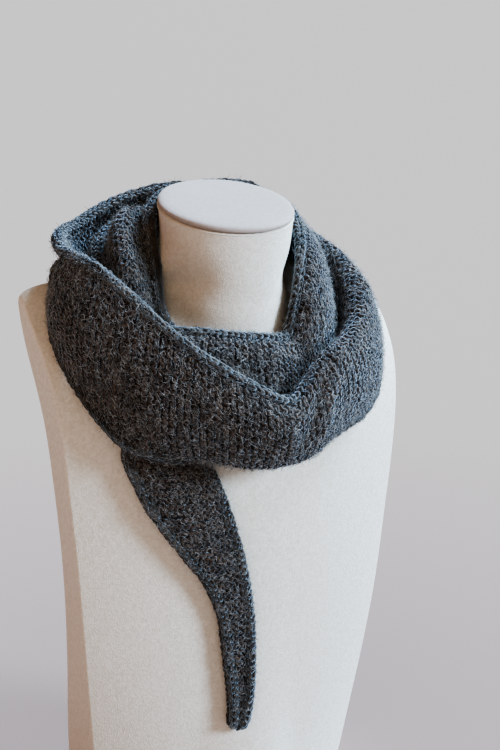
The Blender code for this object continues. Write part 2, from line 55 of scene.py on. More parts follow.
# Winding of the scarf. Each row is one section at a turn angle, seen in the
# upright plane through the neck axis. Turn 0 is the front and 90 the left.
# Columns: turn angle, then radius and height of eight stations from the
# inner or upper edge of the band to its outer or lower edge.
WINDING = (
    (58, 62, 412, 65, 409, 69, 406, 73, 403, 77, 400, 80, 397, 83, 394, 86, 390),
    (72, 62, 424, 65, 418, 69, 416, 74, 417, 80, 420, 85, 413, 89, 405, 91, 399),
    (82, 59, 437, 62, 431, 67, 428, 74, 434, 83, 443, 88, 436, 91, 426, 92, 416),
    (92, 57, 464, 60, 455, 65, 451, 73, 459, 83, 468, 88, 460, 91, 450, 92, 440),
    (110, 57, 494, 60, 484, 64, 478, 71, 484, 79, 491, 85, 484, 88, 473, 89, 462),
    (130, 57, 499, 59, 491, 62, 486, 67, 489, 72, 493, 77, 487, 79, 477, 80, 466),
    (150, 58, 505, 60, 499, 62, 494, 65, 490, 68, 485, 70, 479, 71, 472, 71, 465),
    (175, 58, 508, 59, 501, 60, 494, 61, 487, 62, 480, 63, 472, 63, 464, 63, 456),
    (200, 59, 510, 60, 502, 61, 495, 62, 487, 62, 479, 63, 471, 63, 463, 63, 455),
    (225, 62, 508, 63, 501, 64, 494, 65, 487, 66, 480, 67, 473, 67, 466, 67, 459),
    (243, 69, 495, 73, 492, 77, 486, 79, 479, 81, 471, 82, 464, 82, 457, 82, 451),
    (257, 64, 486, 70, 485, 77, 479, 82, 469, 84, 460, 85, 451, 85, 444, 84, 438),
    (266, 60, 483, 66, 482, 73, 476, 79, 465, 82, 453, 84, 443, 85, 434, 86, 427),
    (275, 57, 479, 63, 478, 70, 473, 76, 462, 80, 449, 83, 436, 85, 425, 86, 417),
    (285, 56, 472, 62, 472, 69, 467, 75, 457, 79, 443, 82, 429, 84, 416, 86, 407),
    (296, 55, 462, 61, 463, 68, 460, 74, 450, 79, 436, 82, 420, 84, 405, 86, 393),
    (310, 55, 444, 61, 447, 68, 445, 74, 437, 79, 425, 82, 409, 83, 395, 84, 382),
    (322, 56, 425, 62, 428, 69, 425, 74, 416, 78, 403, 80, 388, 82, 377, 83, 367),
    (335, 56, 405, 62, 406, 68, 402, 72, 394, 75, 385, 77, 376, 79, 367, 80, 358),
    (360, 57, 408, 63, 408, 69, 404, 73, 396, 76, 386, 78, 376, 80, 366, 81, 356),
    (385, 60, 411, 66, 412, 72, 408, 77, 399, 80, 388, 83, 378, 86, 368, 88, 358),
    (403, 71, 415, 77, 416, 83, 411, 88, 402, 92, 391, 96, 380, 99, 370, 101, 361),
    (416, 84, 420, 89, 419, 94, 413, 98, 404, 101, 394, 104, 384, 106, 375, 108, 366),
    (430, 94, 427, 98, 426, 101, 421, 104, 413, 107, 405, 109, 398, 110, 391, 111, 384),
    (450, 100, 438, 103, 438, 106, 434, 109, 428, 111, 423, 113, 419, 115, 416, 116, 413),
    (470, 97, 457, 100, 459, 103, 457, 106, 453, 108, 449, 110, 446, 112, 444, 114, 443),
    (490, 93, 474, 96, 474, 98, 470, 100, 465, 101, 460, 101, 455, 101, 451, 101, 447),
    (515, 81, 487, 83, 483, 84, 476, 85, 468, 85, 461, 85, 453, 84, 446, 84, 440),
    (540, 72, 498, 73, 492, 74, 484, 75, 476, 76, 468, 76, 460, 76, 452, 76, 444),
    (565, 73, 493, 75, 487, 77, 479, 79, 471, 81, 463, 82, 456, 83, 449, 83, 442),
    (585, 79, 478, 82, 478, 86, 473, 90, 467, 93, 460, 95, 453, 97, 446, 98, 441),
    (605, 91, 448, 93, 458, 98, 464, 106, 464, 111, 458, 114, 452, 116, 447, 118, 443),
    (620, 95, 434, 96, 444, 101, 454, 107, 457, 112, 450, 116, 441, 119, 433, 121, 426),
    (635, 95, 413, 97, 427, 101, 439, 108, 444, 115, 437, 121, 426, 125, 415, 128, 405),
    (650, 94, 396, 96, 411, 101, 425, 109, 428, 117, 416, 122, 396, 123, 376, 122, 357),
    (665, 93, 388, 94, 401, 99, 411, 107, 413, 115, 400, 119, 378, 116, 356, 108, 338),
    (680, 89, 380, 91, 393, 97, 404, 105, 405, 112, 393, 115, 371, 108, 346, 96, 334),
    (695, 88, 382, 91, 392, 97, 398, 105, 395, 111, 382, 112, 361, 105, 338, 91, 331),
    (708, 95, 374, 99, 381, 104, 382, 110, 373, 114, 359, 113, 343, 105, 328, 89, 327),
    (720, 102, 368, 107, 370, 112, 365, 115, 354, 115, 342, 110, 330, 101, 323, 86, 327),
    (740, 103, 391, 108, 388, 113, 378, 116, 364, 116, 349, 112, 335, 103, 325, 88, 328),
    (755, 104, 409, 110, 403, 115, 390, 118, 374, 118, 358, 114, 342, 105, 331, 92, 331),
    (770, 107, 429, 113, 421, 119, 404, 123, 386, 124, 368, 121, 350, 116, 337, 109, 328),
    (783, 113, 451, 119, 442, 125, 424, 128, 405, 129, 386, 129, 368, 128, 352, 126, 339),
    (797, 120, 469, 127, 461, 134, 447, 139, 429, 140, 411, 139, 395, 138, 382, 136, 374),
    (810, 124, 474, 129, 467, 136, 458, 141, 444, 143, 431, 142, 419, 140, 410, 137, 403),
    (825, 130, 477, 126, 470, 121, 463, 123, 455, 128, 448, 131, 442, 132, 438, 133, 434),
    (836, 129, 480, 125, 474, 121, 467, 121, 461, 123, 457, 126, 453, 129, 450, 130, 448),
    (850, 122, 482, 119, 476, 118, 468, 119, 459, 120, 451, 120, 443, 119, 435, 117, 427),
    (865, 114, 490, 112, 484, 111, 474, 110, 463, 110, 452, 109, 441, 108, 432, 106, 424),
    (880, 102, 499, 100, 493, 99, 484, 98, 473, 98, 462, 97, 451, 96, 442, 94, 434),
    (895, 84, 505, 86, 499, 87, 490, 88, 480, 88, 469, 88, 459, 87, 450, 86, 443),
    (910, 82, 503, 84, 498, 86, 490, 88, 481, 89, 472, 90, 463, 90, 455, 89, 449),
    (925, 84, 498, 87, 494, 90, 487, 92, 480, 93, 472, 94, 465, 94, 459, 93, 454),
    (938, 89, 487, 91, 484, 94, 480, 96, 475, 98, 470, 99, 466, 100, 462, 101, 459),
)

# Hanging end, from under the front drape down to its tip. Columns: across and
# height of the right edge, across and height of the left edge, lift off the
# chest and arch of the middle.
HANGING_END = (
    (-50.0, 389.0, -80.0, 377.0, 8.5, 2.0),
    (-49.0, 368.0, -89.0, 363.0, 7.0, 2.5),
    (-48.0, 345.0, -100.0, 348.0, 6.0, 2.5),
    (-46.5, 321.0, -109.0, 330.0, 6.0, 3.0),
    (-41.6, 308.0, -103.5, 311.0, 6.0, 4.0),
    (-34.0, 288.0, -91.0, 283.0, 6.0, 5.0),
    (-23.0, 254.0, -66.0, 246.0, 5.5, 4.5),
    (-17.0, 230.0, -52.0, 226.0, 5.5, 3.5),
    (-12.0, 205.0, -41.0, 203.0, 5.5, 2.5),
    (-8.5, 182.0, -35.5, 181.0, 5.5, 2.0),
    (-6.2, 155.0, -31.5, 155.0, 5.5, 1.0),
    (-5.5, 130.0, -27.5, 130.0, 5.5, 0.5),
    (-6.5, 108.0, -25.2, 109.0, 5.5, 0.0),
    (-9.0, 94.0, -25.0, 97.0, 5.5, 0.0),
    (-13.0, 87.0, -22.0, 90.0, 5.5, 0.0),
)
# The hanging end's top follows the winding over this turn. That row's place
# is told as the others' are, which count from 0 where the winding starts.
HANGING_LEAD = 10.0
HANGING_LEAD_PLACE = -0.6
STATIONS = 8
FIRST_TURN = float(WINDING[0][0])
LAST_TURN = float(WINDING[-1][0])

# Soft folds that lie across the general form of the cloth. Columns: turn and
# part across at one end, the same at the other end, half width and rise.
# A negative rise is a trough.
FOLDS = (
    (698, 0.30, 712, 0.62, 7.0, 1.6),
    (704, 0.22, 722, 0.52, 6.0, -1.8),
    (712, 0.16, 736, 0.40, 8.0, 1.5),
    (745, 0.30, 752, 0.85, 9.0, -1.2),
    (764, 0.18, 776, 0.70, 11.0, 1.4),
    (781, 0.35, 790, 0.90, 9.0, -1.3),
    (655, 0.45, 668, 0.85, 9.0, 1.3),
    (672, 0.50, 684, 0.92, 8.0, -1.4),
    (610, 0.45, 628, 0.80, 10.0, -1.3),
    (640, 0.30, 646, 0.70, 8.0, 1.2),
    (803, 0.15, 812, 0.65, 9.0, -1.2),
    (818, 0.30, 832, 0.60, 8.0, 1.0),
    (856, 0.15, 862, 0.85, 10.0, 1.2),
    (874, 0.25, 880, 0.95, 9.0, -1.2),
    (900, 0.20, 904, 0.75, 12.0, 1.0),
    (248, 0.25, 262, 0.60, 9.0, -1.0),
    (276, 0.20, 290, 0.55, 8.0, 0.9),
    (318, 0.25, 326, 0.85, 8.0, -0.8),
    (350, 0.20, 354, 0.70, 9.0, 0.8),
)

# Bust sections from the base up. Columns: height, half width, depth of the
# front edge, of the rear edge, of the front centre and of the back centre.
BUST_SECTIONS = (
    (0.0, 112.0, -4.0, 64.0, -43.0, 66.0),
    (60.0, 120.0, -11.0, 49.0, -50.0, 52.0),
    (120.0, 127.0, -19.0, 29.0, -58.0, 33.0),
    (180.0, 133.0, -25.0, 14.0, -64.0, 18.0),
    (240.0, 138.0, -27.0, 8.0, -68.0, 12.0),
    (300.0, 144.0, -27.0, 8.0, -68.0, 14.0),
    (340.0, 147.0, -24.0, 14.0, -64.0, 22.0),
    (370.0, 149.0, -15.0, 28.0, -54.0, 36.0),
    (395.0, 150.0, 3.0, 44.0, -38.0, 50.0),
    (415.0, 150.0, 27.0, 54.0, -20.0, 58.0),
    (430.0, 149.0, 48.0, 60.0, 2.0, 62.0),
    (437.0, 147.0, 57.0, 62.0, 14.0, 63.0),
)
# Heights of the bust's outlines from its base to the shoulders
BUST_ROW_HEIGHTS = (
    0.0, 2.0, 30.0, 60.0, 90.0, 120.0, 150.0, 180.0, 210.0, 240.0, 270.0,
    300.0, 325.0, 345.0, 360.0, 372.0, 384.0, 395.0, 405.0, 414.0, 422.0,
    429.0, 434.0, 437.0,
)
# Top of the shoulders. Columns: height, half width, front and rear depth.
SHOULDER_RIDGE = (
    (438.6, 126.0, 57.5, 61.5),
    (441.0, 98.0, 56.0, 60.0),
    (446.0, 72.0, 50.0, 56.0),
    (453.0, 56.0, 34.0, 44.0),
)
# Neck. Columns: height and radius.
NECK_RADII = (
    (380.0, 50.0),
    (400.0, 49.0),
    (430.0, 48.0),
    (460.0, 49.5),
    (500.0, 52.5),
)
NECK_ROW_HEIGHTS = (463.0, 472.0, 482.0, 490.0, 497.0)
# Depth over which the chest and the neck run into each other
NECK_BLEND = 24.0
NECK_AXIS_HEIGHT = 497.0
NECK_TOP_RADIUS = 52.5
# Forward slant of the neck's top, in degrees
NECK_TILT = 12.0

# Half section of the padded cap. Columns: radius and height over the seam.
CAP_PROFILE = (
    (30.0, 0.0), (49.2, 0.0), (50.6, 0.15), (51.8, 0.7), (52.5, 1.5), (52.75, 2.5),
    (52.5, 3.5), (51.7, 4.4), (50.4, 5.1), (48.6, 5.6), (45.0, 6.05), (38.0, 6.45),
    (28.0, 6.8), (16.0, 7.0), (6.0, 7.1),
)
CAP_HEIGHT = 7.12

# Seeds of the random draws. Each ridge and each cord adds its own number.
WANDER_SEED = 11
PUFF_SEED = 12
RIDGE_SEED = 100
CORD_SEED = 300
INNER_FACE_SHIFT = 5000

# Nodes of the frame that the scarf stands for
SCARF_NODES = (
    "scarf_hanging_end", "scarf_left_inner", "scarf_back_inner",
    "scarf_right_collar", "scarf_front_collar", "scarf_left_middle",
    "scarf_back_middle", "scarf_right_outer", "scarf_right_fold",
    "scarf_front_pocket", "scarf_front_drape", "scarf_left_corner",
    "scarf_back_outer",
)


class Face(Enum):
    """The two faces of the garter knit."""

    OUTER = 1
    INNER = -1


class Edge(Enum):
    """The two long edges of the band."""

    INNER = 0
    OUTER = 1


# Finishes


def linear(code: str) -> tuple[float, float, float, float]:
    """Turn an sRGB hex colour into linear light.

    Args:
        code: Six hex digits after a hash.

    Returns:
        Red, green, blue and alpha.
    """
    parts = [int(code[spot:spot + 2], 16) / 255.0 for spot in (1, 3, 5)]
    light = [v / 12.92 if v <= 0.04045 else ((v + 0.055) / 1.055) ** 2.4 for v in parts]
    return light[0], light[1], light[2], 1.0


def add_node(
    tree: bpy.types.NodeTree,
    kind: str,
    inputs: dict[str | int, object] | None = None,
    **settings: object,
) -> bpy.types.Node:
    """Add a shader node with its settings, values and links.

    Args:
        tree: Node tree that gets the node.
        kind: Blender's type name of the node.
        inputs: Socket names with the value or the output that each gets.
        settings: Properties of the node itself.

    Returns:
        The new node.
    """
    node = tree.nodes.new(kind)
    for name, value in settings.items():
        setattr(node, name, value)
    for name, value in (inputs or {}).items():
        if isinstance(value, bpy.types.NodeSocket):
            tree.links.new(value, node.inputs[name])
        else:
            node.inputs[name].default_value = value
    return node


def set_ramp(node: bpy.types.Node, stops: tuple[tuple[float, str], ...]) -> None:
    """Give a colour ramp its stops.

    Args:
        node: The ramp node.
        stops: Places along the ramp with their hex colours.
    """
    ramp = node.color_ramp.elements
    while len(ramp) > len(stops):
        ramp.remove(ramp[-1])
    while len(ramp) < len(stops):
        ramp.new(1.0)
    for element, (place, code) in zip(ramp, stops):
        element.position = place
        element.color = linear(code)


def new_material(
    name: str, sockets: dict[str, float | tuple[float, ...]],
) -> tuple[bpy.types.Material, bpy.types.Node]:
    """Start a material and set the values that are the same all over it.

    Args:
        name: Name of the material.
        sockets: Socket names of its shader with their values.

    Returns:
        The material and its Principled shader.
    """
    material = bpy.data.materials.new(name)
    material.use_nodes = True
    shader = material.node_tree.nodes["Principled BSDF"]
    for socket, value in sockets.items():
        shader.inputs[socket].default_value = value
    return material, shader


def fibrous_material(
    name: str,
    sockets: dict[str, float | tuple[float, ...]],
    fine: dict[str, float],
    coarse: dict[str, float],
    stops: tuple[tuple[float, str], ...],
    relief: dict[str, float],
) -> bpy.types.Material:
    """Build a surface of short fibres, with mottled colours and a fine relief.

    Args:
        name: Name of the material.
        sockets: Socket names of its shader with their values.
        fine: Settings of the pattern of its fibres.
        coarse: Settings of the slow pattern over them.
        stops: Places along the mean of both patterns with their hex colours.
        relief: Strength and height of the relief.

    Returns:
        The material.
    """
    material, shader = new_material(name, sockets)
    tree = material.node_tree
    place = add_node(tree, "ShaderNodeTexCoord").outputs["Object"]
    fibres = add_node(tree, "ShaderNodeTexNoise", {"Vector": place, **fine}).outputs["Fac"]
    patches = add_node(tree, "ShaderNodeTexNoise", {"Vector": place, **coarse}).outputs["Fac"]
    total = add_node(tree, "ShaderNodeMath", {0: fibres, 1: patches}, operation="ADD")
    mean = add_node(tree, "ShaderNodeMath", {0: total.outputs[0], 1: 0.5}, operation="MULTIPLY")
    ramp = add_node(tree, "ShaderNodeValToRGB", {"Fac": mean.outputs[0]})
    set_ramp(ramp, stops)
    bump = add_node(tree, "ShaderNodeBump", {"Height": fibres, **relief})
    tree.links.new(ramp.outputs["Color"], shader.inputs["Base Color"])
    tree.links.new(bump.outputs["Normal"], shader.inputs["Normal"])
    return material


@dataclass(frozen=True)
class AlpacaYarn:
    """Two-ply alpaca yarn, woollen spun and hand knitted, not brushed.

    Its fine scales scatter light, so it looks matt and dark with a pale bloom
    where the surface turns away. The plies are marled in close greys.
    """

    name: str = "alpaca_yarn_hand_knitted"
    dark: str = "#2a231e"
    middle: str = "#483c33"
    light: str = "#6a5c4f"
    bloom: str = "#b4d0e8"
    bloom_weight: float = 1.0
    roughness: float = 0.9
    # Real fibres are 0.03 mm wide. They are drawn as tufts of 1.7 mm.
    fibre: float = 1.7
    # Length of yarn over which its marled shade changes
    marl: float = 9.0
    # How far the tufts wind about each other
    twist: float = 0.8
    rise: float = 0.5
    # Places of the three shades in the noise, which mostly lies near 0.5
    shades: tuple[float, float, float] = (0.36, 0.5, 0.66)

    def make(self) -> bpy.types.Material:
        """Build the material.

        Returns:
            The material.
        """
        sockets = {
            "Roughness": self.roughness, "IOR": 1.55, "Specular IOR Level": 0.15,
            "Sheen Weight": self.bloom_weight, "Sheen Roughness": 0.45,
            "Sheen Tint": linear(self.bloom),
        }
        tufts = {
            "Scale": 1.0 / (self.fibre * MM), "Detail": 3.0, "Roughness": 0.7,
            "Distortion": self.twist,
        }
        marling = {"Scale": 1.0 / (self.marl * MM), "Detail": 2.0, "Roughness": 0.5}
        stops = tuple(zip(self.shades, (self.dark, self.middle, self.light)))
        relief = {"Strength": 0.5, "Distance": self.rise * MM}
        return fibrous_material(self.name, sockets, tufts, marling, stops, relief)


@dataclass(frozen=True)
class AlpacaHalo:
    """Loose alpaca fibres that stand off the yarn.

    They are single hairs, paler than the yarn because the light passes them.
    """

    name: str = "alpaca_halo_loose_fibres"
    root: str = "#838789"
    tip: str = "#cbd0d3"
    sheen: str = "#bfd4e6"
    roughness: float = 0.6
    # Share of the light that goes through a hair instead of back off it
    passed: float = 0.4
    # A hair is 0.03 mm wide. Its shade changes along it, in about 3 mm.
    patch: float = 3.125
    shades: tuple[float, float] = (0.35, 0.65)

    def make(self) -> bpy.types.Material:
        """Build the material.

        Returns:
            The material.
        """
        material, shader = new_material(self.name, {
            "Roughness": self.roughness, "IOR": 1.55, "Specular IOR Level": 0.3,
            "Sheen Weight": 0.5, "Sheen Roughness": 0.4, "Sheen Tint": linear(self.sheen),
        })
        tree = material.node_tree
        place = add_node(tree, "ShaderNodeTexCoord").outputs["Object"]
        patches = add_node(
            tree, "ShaderNodeTexNoise",
            {"Vector": place, "Scale": 1.0 / (self.patch * MM), "Detail": 1.0},
        )
        ramp = add_node(tree, "ShaderNodeValToRGB", {"Fac": patches.outputs["Fac"]})
        set_ramp(ramp, tuple(zip(self.shades, (self.root, self.tip))))
        tree.links.new(ramp.outputs["Color"], shader.inputs["Base Color"])
        through = add_node(
            tree, "ShaderNodeBsdfTranslucent", {"Color": ramp.outputs["Color"]},
        )
        both = add_node(
            tree, "ShaderNodeMixShader",
            {"Fac": self.passed, 1: shader.outputs["BSDF"], 2: through.outputs["BSDF"]},
        )
        output = tree.nodes["Material Output"]
        tree.links.new(both.outputs["Shader"], output.inputs["Surface"])
        return material


@dataclass(frozen=True)
class CottonVelvet:
    """Cream cotton velvet, woven and cut to a short nap.

    The nap takes the eye as a soft powdery surface with a faint grain.
    """

    name: str = "cotton_velvet_short_nap"
    shade: str = "#c9c2b6"
    light: str = "#ddd9d1"
    sheen: str = "#f2efe9"
    roughness: float = 0.85
    # The real nap is 0.1 mm wide. It is drawn as grains of 1.3 mm.
    grain: float = 1.3
    # The nap leans one way in patches of about 3 mm
    patch: float = 3.03
    rise: float = 0.5
    shades: tuple[float, float] = (0.35, 0.65)

    def make(self) -> bpy.types.Material:
        """Build the material.

        Returns:
            The material.
        """
        sockets = {
            "Roughness": self.roughness, "IOR": 1.5, "Specular IOR Level": 0.2,
            "Sheen Weight": 0.35, "Sheen Roughness": 0.35, "Sheen Tint": linear(self.sheen),
        }
        nap = {"Scale": 1.0 / (self.grain * MM), "Detail": 3.0, "Roughness": 0.6}
        patches = {"Scale": 1.0 / (self.patch * MM), "Detail": 3.0}
        stops = tuple(zip(self.shades, (self.shade, self.light)))
        relief = {"Strength": 1.0, "Distance": self.rise * MM}
        return fibrous_material(self.name, sockets, nap, patches, stops, relief)


@dataclass(frozen=True)
class SeamlessPaper:
    """Pale seamless backdrop paper, uncoated and matt.

    It gives an even ground with no shine, darker near the bust as a painted shadow.
    """

    name: str = "seamless_paper_uncoated"
    # The near and middle colours are darker than the far one as a painted shadow of the bust on
    # the floor
    near: str = "#8a776f"
    middle: str = "#938077"
    far: str = "#9d8b7e"
    # Distances from the bust at which these are reached, in metres; the darker near colours are a
    # painted shadow of the bust
    painted_shadow_reaches: tuple[float, float, float] = (0.15, 0.45, 1.0)

    def make(self) -> bpy.types.Material:
        """Build the material.

        Returns:
            The material.
        """
        material, shader = new_material(
            self.name, {"Roughness": 0.95, "Specular IOR Level": 0.1},
        )
        tree = material.node_tree
        place = add_node(tree, "ShaderNodeTexCoord").outputs["Object"]
        # The length of the place is the distance from the bust in metres, which sets the painted
        # shadow
        reach = add_node(tree, "ShaderNodeVectorMath", {0: place}, operation="LENGTH")
        ramp = add_node(tree, "ShaderNodeValToRGB", {"Fac": reach.outputs["Value"]})
        set_ramp(ramp, tuple(zip(self.painted_shadow_reaches, (self.near, self.middle, self.far))))
        tree.links.new(ramp.outputs["Color"], shader.inputs["Base Color"])
        return material


# Mesh code


def unit(vectors: np.ndarray) -> np.ndarray:
    """Vectors of length one in the same directions."""
    return vectors / np.maximum(np.linalg.norm(vectors, axis=-1, keepdims=True), 1e-9)


def between(
    table: np.ndarray, low: np.ndarray, left: np.ndarray, up: np.ndarray, side: np.ndarray,
) -> np.ndarray:
    """Read a table between its rows and columns.

    Args:
        table: The table.
        low: Row before each place.
        left: Column before each place.
        up: Part of the way to the next row.
        side: Part of the way to the next column.

    Returns:
        One value or vector for each place.
    """
    near = table[low, left] * (1 - side) + table[low, left + 1] * side
    far = table[low + 1, left] * (1 - side) + table[low + 1, left + 1] * side
    return near * (1 - up) + far * up


def hermite(
    part: np.ndarray,
    span: np.ndarray,
    first: tuple[np.ndarray, np.ndarray],
    last: tuple[np.ndarray, np.ndarray],
) -> np.ndarray:
    """Smooth curve between two values that have slopes.

    Args:
        part: Parts of the way from the first value to the last.
        span: Length of that way.
        first: The first value and the slope there.
        last: The last value and the slope there.

    Returns:
        The values on the curve.
    """
    square, cube = part ** 2, part ** 3
    return (
        (2 * cube - 3 * square + 1) * first[0]
        + (cube - 2 * square + part) * span * first[1]
        + (3 * square - 2 * cube) * last[0]
        + (cube - square) * span * last[1]
    )


def closed_skin(rings: np.ndarray, centres: np.ndarray) -> tuple[np.ndarray, list[np.ndarray]]:
    """Skin over a pile of rings, closed by a fan of faces at both ends.

    Args:
        rings: Points, as rings by points by three.
        centres: Middle point of the first ring and of the last.

    Returns:
        The points and the faces, as add_piece takes them.
    """
    levels, count = rings.shape[:2]
    grid = np.arange(levels * count).reshape(levels, count)
    after = np.roll(grid, -1, axis=1)
    sides = np.stack((grid[:-1], after[:-1], after[1:], grid[1:]), axis=-1).reshape(-1, 4)
    low = np.stack((np.full(count, grid.size), after[0], grid[0]), axis=1)
    high = np.stack((np.full(count, grid.size + 1), grid[-1], after[-1]), axis=1)
    return np.concatenate((rings.reshape(-1, 3), centres)), [sides, low, high]


def add_piece(
    name: str,
    points: np.ndarray,
    faces: list[np.ndarray],
    material: bpy.types.Material,
) -> bpy.types.Object:
    """Add one smooth piece to the scene, riding on the root body.

    Args:
        name: Name of the piece.
        points: Corner places in millimetres.
        faces: Arrays of corner numbers, each with its own corners per face.
        material: Finish of the piece.

    Returns:
        The new object.
    """
    mesh = bpy.data.meshes.new(name)
    loops = np.concatenate([part.reshape(-1) for part in faces]).astype(np.int32)
    sizes = np.concatenate([np.full(len(part), part.shape[1]) for part in faces])
    starts = np.concatenate(([0], np.cumsum(sizes)[:-1])).astype(np.int32)
    mesh.vertices.add(len(points))
    mesh.vertices.foreach_set("co", (points * MM).astype(np.float32).reshape(-1))
    mesh.loops.add(len(loops))
    mesh.loops.foreach_set("vertex_index", loops)
    mesh.polygons.add(len(starts))
    mesh.polygons.foreach_set("loop_start", starts)
    mesh.update(calc_edges=True)
    mesh.polygons.foreach_set("use_smooth", np.ones(len(starts), dtype=bool))
    mesh.materials.append(material)
    piece = bpy.data.objects.new(name, mesh)
    bpy.context.collection.objects.link(piece)
    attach(piece, "root")
    return piece


@dataclass
class TubeBasket:
    """Gathers many short tubes into one mesh."""

    sides: int
    points: list[np.ndarray] = field(default_factory=list)
    quads: list[np.ndarray] = field(default_factory=list)
    caps: list[np.ndarray] = field(default_factory=list)
    count: int = 0

    def add(self, paths: np.ndarray, ups: np.ndarray, radii: np.ndarray) -> None:
        """Add tubes of equal numbers of points, closed at both ends.

        Args:
            paths: Centre lines, as tubes by points by three.
            ups: Direction that each ring starts from, of the same shape.
            radii: Radius at each point, as tubes by points.
        """
        tubes, rows = paths.shape[:2]
        onward = unit(np.gradient(paths, axis=1))
        side = unit(np.cross(onward, ups))
        above = np.cross(side, onward)
        angles = np.arange(self.sides) * math.tau / self.sides + math.pi / self.sides
        ring = (
            side[:, :, None] * np.cos(angles)[:, None]
            + above[:, :, None] * np.sin(angles)[:, None]
        )
        rings = paths[:, :, None] + ring * radii[:, :, None, None]
        self.points.append(rings.reshape(-1, 3))
        base = self.count + np.arange(tubes * rows * self.sides)
        base = base.reshape(tubes, rows, self.sides)
        after = np.roll(base, -1, axis=2)
        quads = np.stack(
            (base[:, :-1], base[:, 1:], after[:, 1:], after[:, :-1]), axis=-1,
        )
        self.quads.append(quads.reshape(-1, 4))
        self.caps.append(base[:, 0])
        self.caps.append(base[:, -1, ::-1])
        self.count += tubes * rows * self.sides

    def triangles(self) -> int:
        """Count the triangles gathered so far.

        Returns:
            Their number.
        """
        quads = sum(len(part) for part in self.quads)
        caps = sum(len(part) for part in self.caps)
        return quads * 2 + caps * (self.sides - 2)

    def make(self, name: str, material: bpy.types.Material) -> bpy.types.Object:
        """Turn all tubes into one piece."""
        faces = [np.concatenate(self.quads), np.concatenate(self.caps)]
        return add_piece(name, np.concatenate(self.points), faces, material)


@dataclass
class SoftNoise:
    """Smooth uneven values over the band, the same each time.

    They are drawn at the corners of square cells and eased between them.
    """

    seed: int
    cell: float = 30.0
    rows: int = 96
    columns: int = 12

    def __post_init__(self) -> None:
        """Draw the values at the cells' corners."""
        draw = np.random.default_rng(self.seed)
        self.values = draw.uniform(-1.0, 1.0, (self.rows, self.columns))

    def at(self, run: np.ndarray, across: np.ndarray) -> np.ndarray:
        """Read uneven values from -1 to 1.

        Args:
            run: Distance along the band.
            across: Distance across the band.

        Returns:
            One value for each place.
        """
        row = np.clip(run / self.cell, 0.0, self.rows - 1.001)
        column = np.clip(across / self.cell, 0.0, self.columns - 1.001)
        low, left = row.astype(int), column.astype(int)
        up, side = row - low, column - left
        up, side = up * up * (3 - 2 * up), side * side * (3 - 2 * side)
        return between(self.values, low, left, up, side)


def smooth_curve(keys: np.ndarray, values: np.ndarray, query: np.ndarray) -> np.ndarray:
    """Smooth curve through values given at rising keys.

    Args:
        keys: Rising keys.
        values: One row of values for each key.
        query: Keys to read the curve at.

    Returns:
        One row of values for each queried key.
    """
    last = len(keys) - 1
    before = np.maximum(np.arange(last + 1) - 1, 0)
    after = np.minimum(np.arange(last + 1) + 1, last)
    shape = (-1,) + (1,) * (values.ndim - 1)
    slopes = (values[after] - values[before]) / (keys[after] - keys[before]).reshape(shape)
    spot = np.clip(np.searchsorted(keys, query, side="left") - 1, 0, last - 1)
    span = (keys[spot + 1] - keys[spot]).reshape(shape)
    part = ((query - keys[spot]).reshape(shape)) / span
    return hermite(
        part, span, (values[spot], slopes[spot]), (values[spot + 1], slopes[spot + 1]),
    )


# The bust


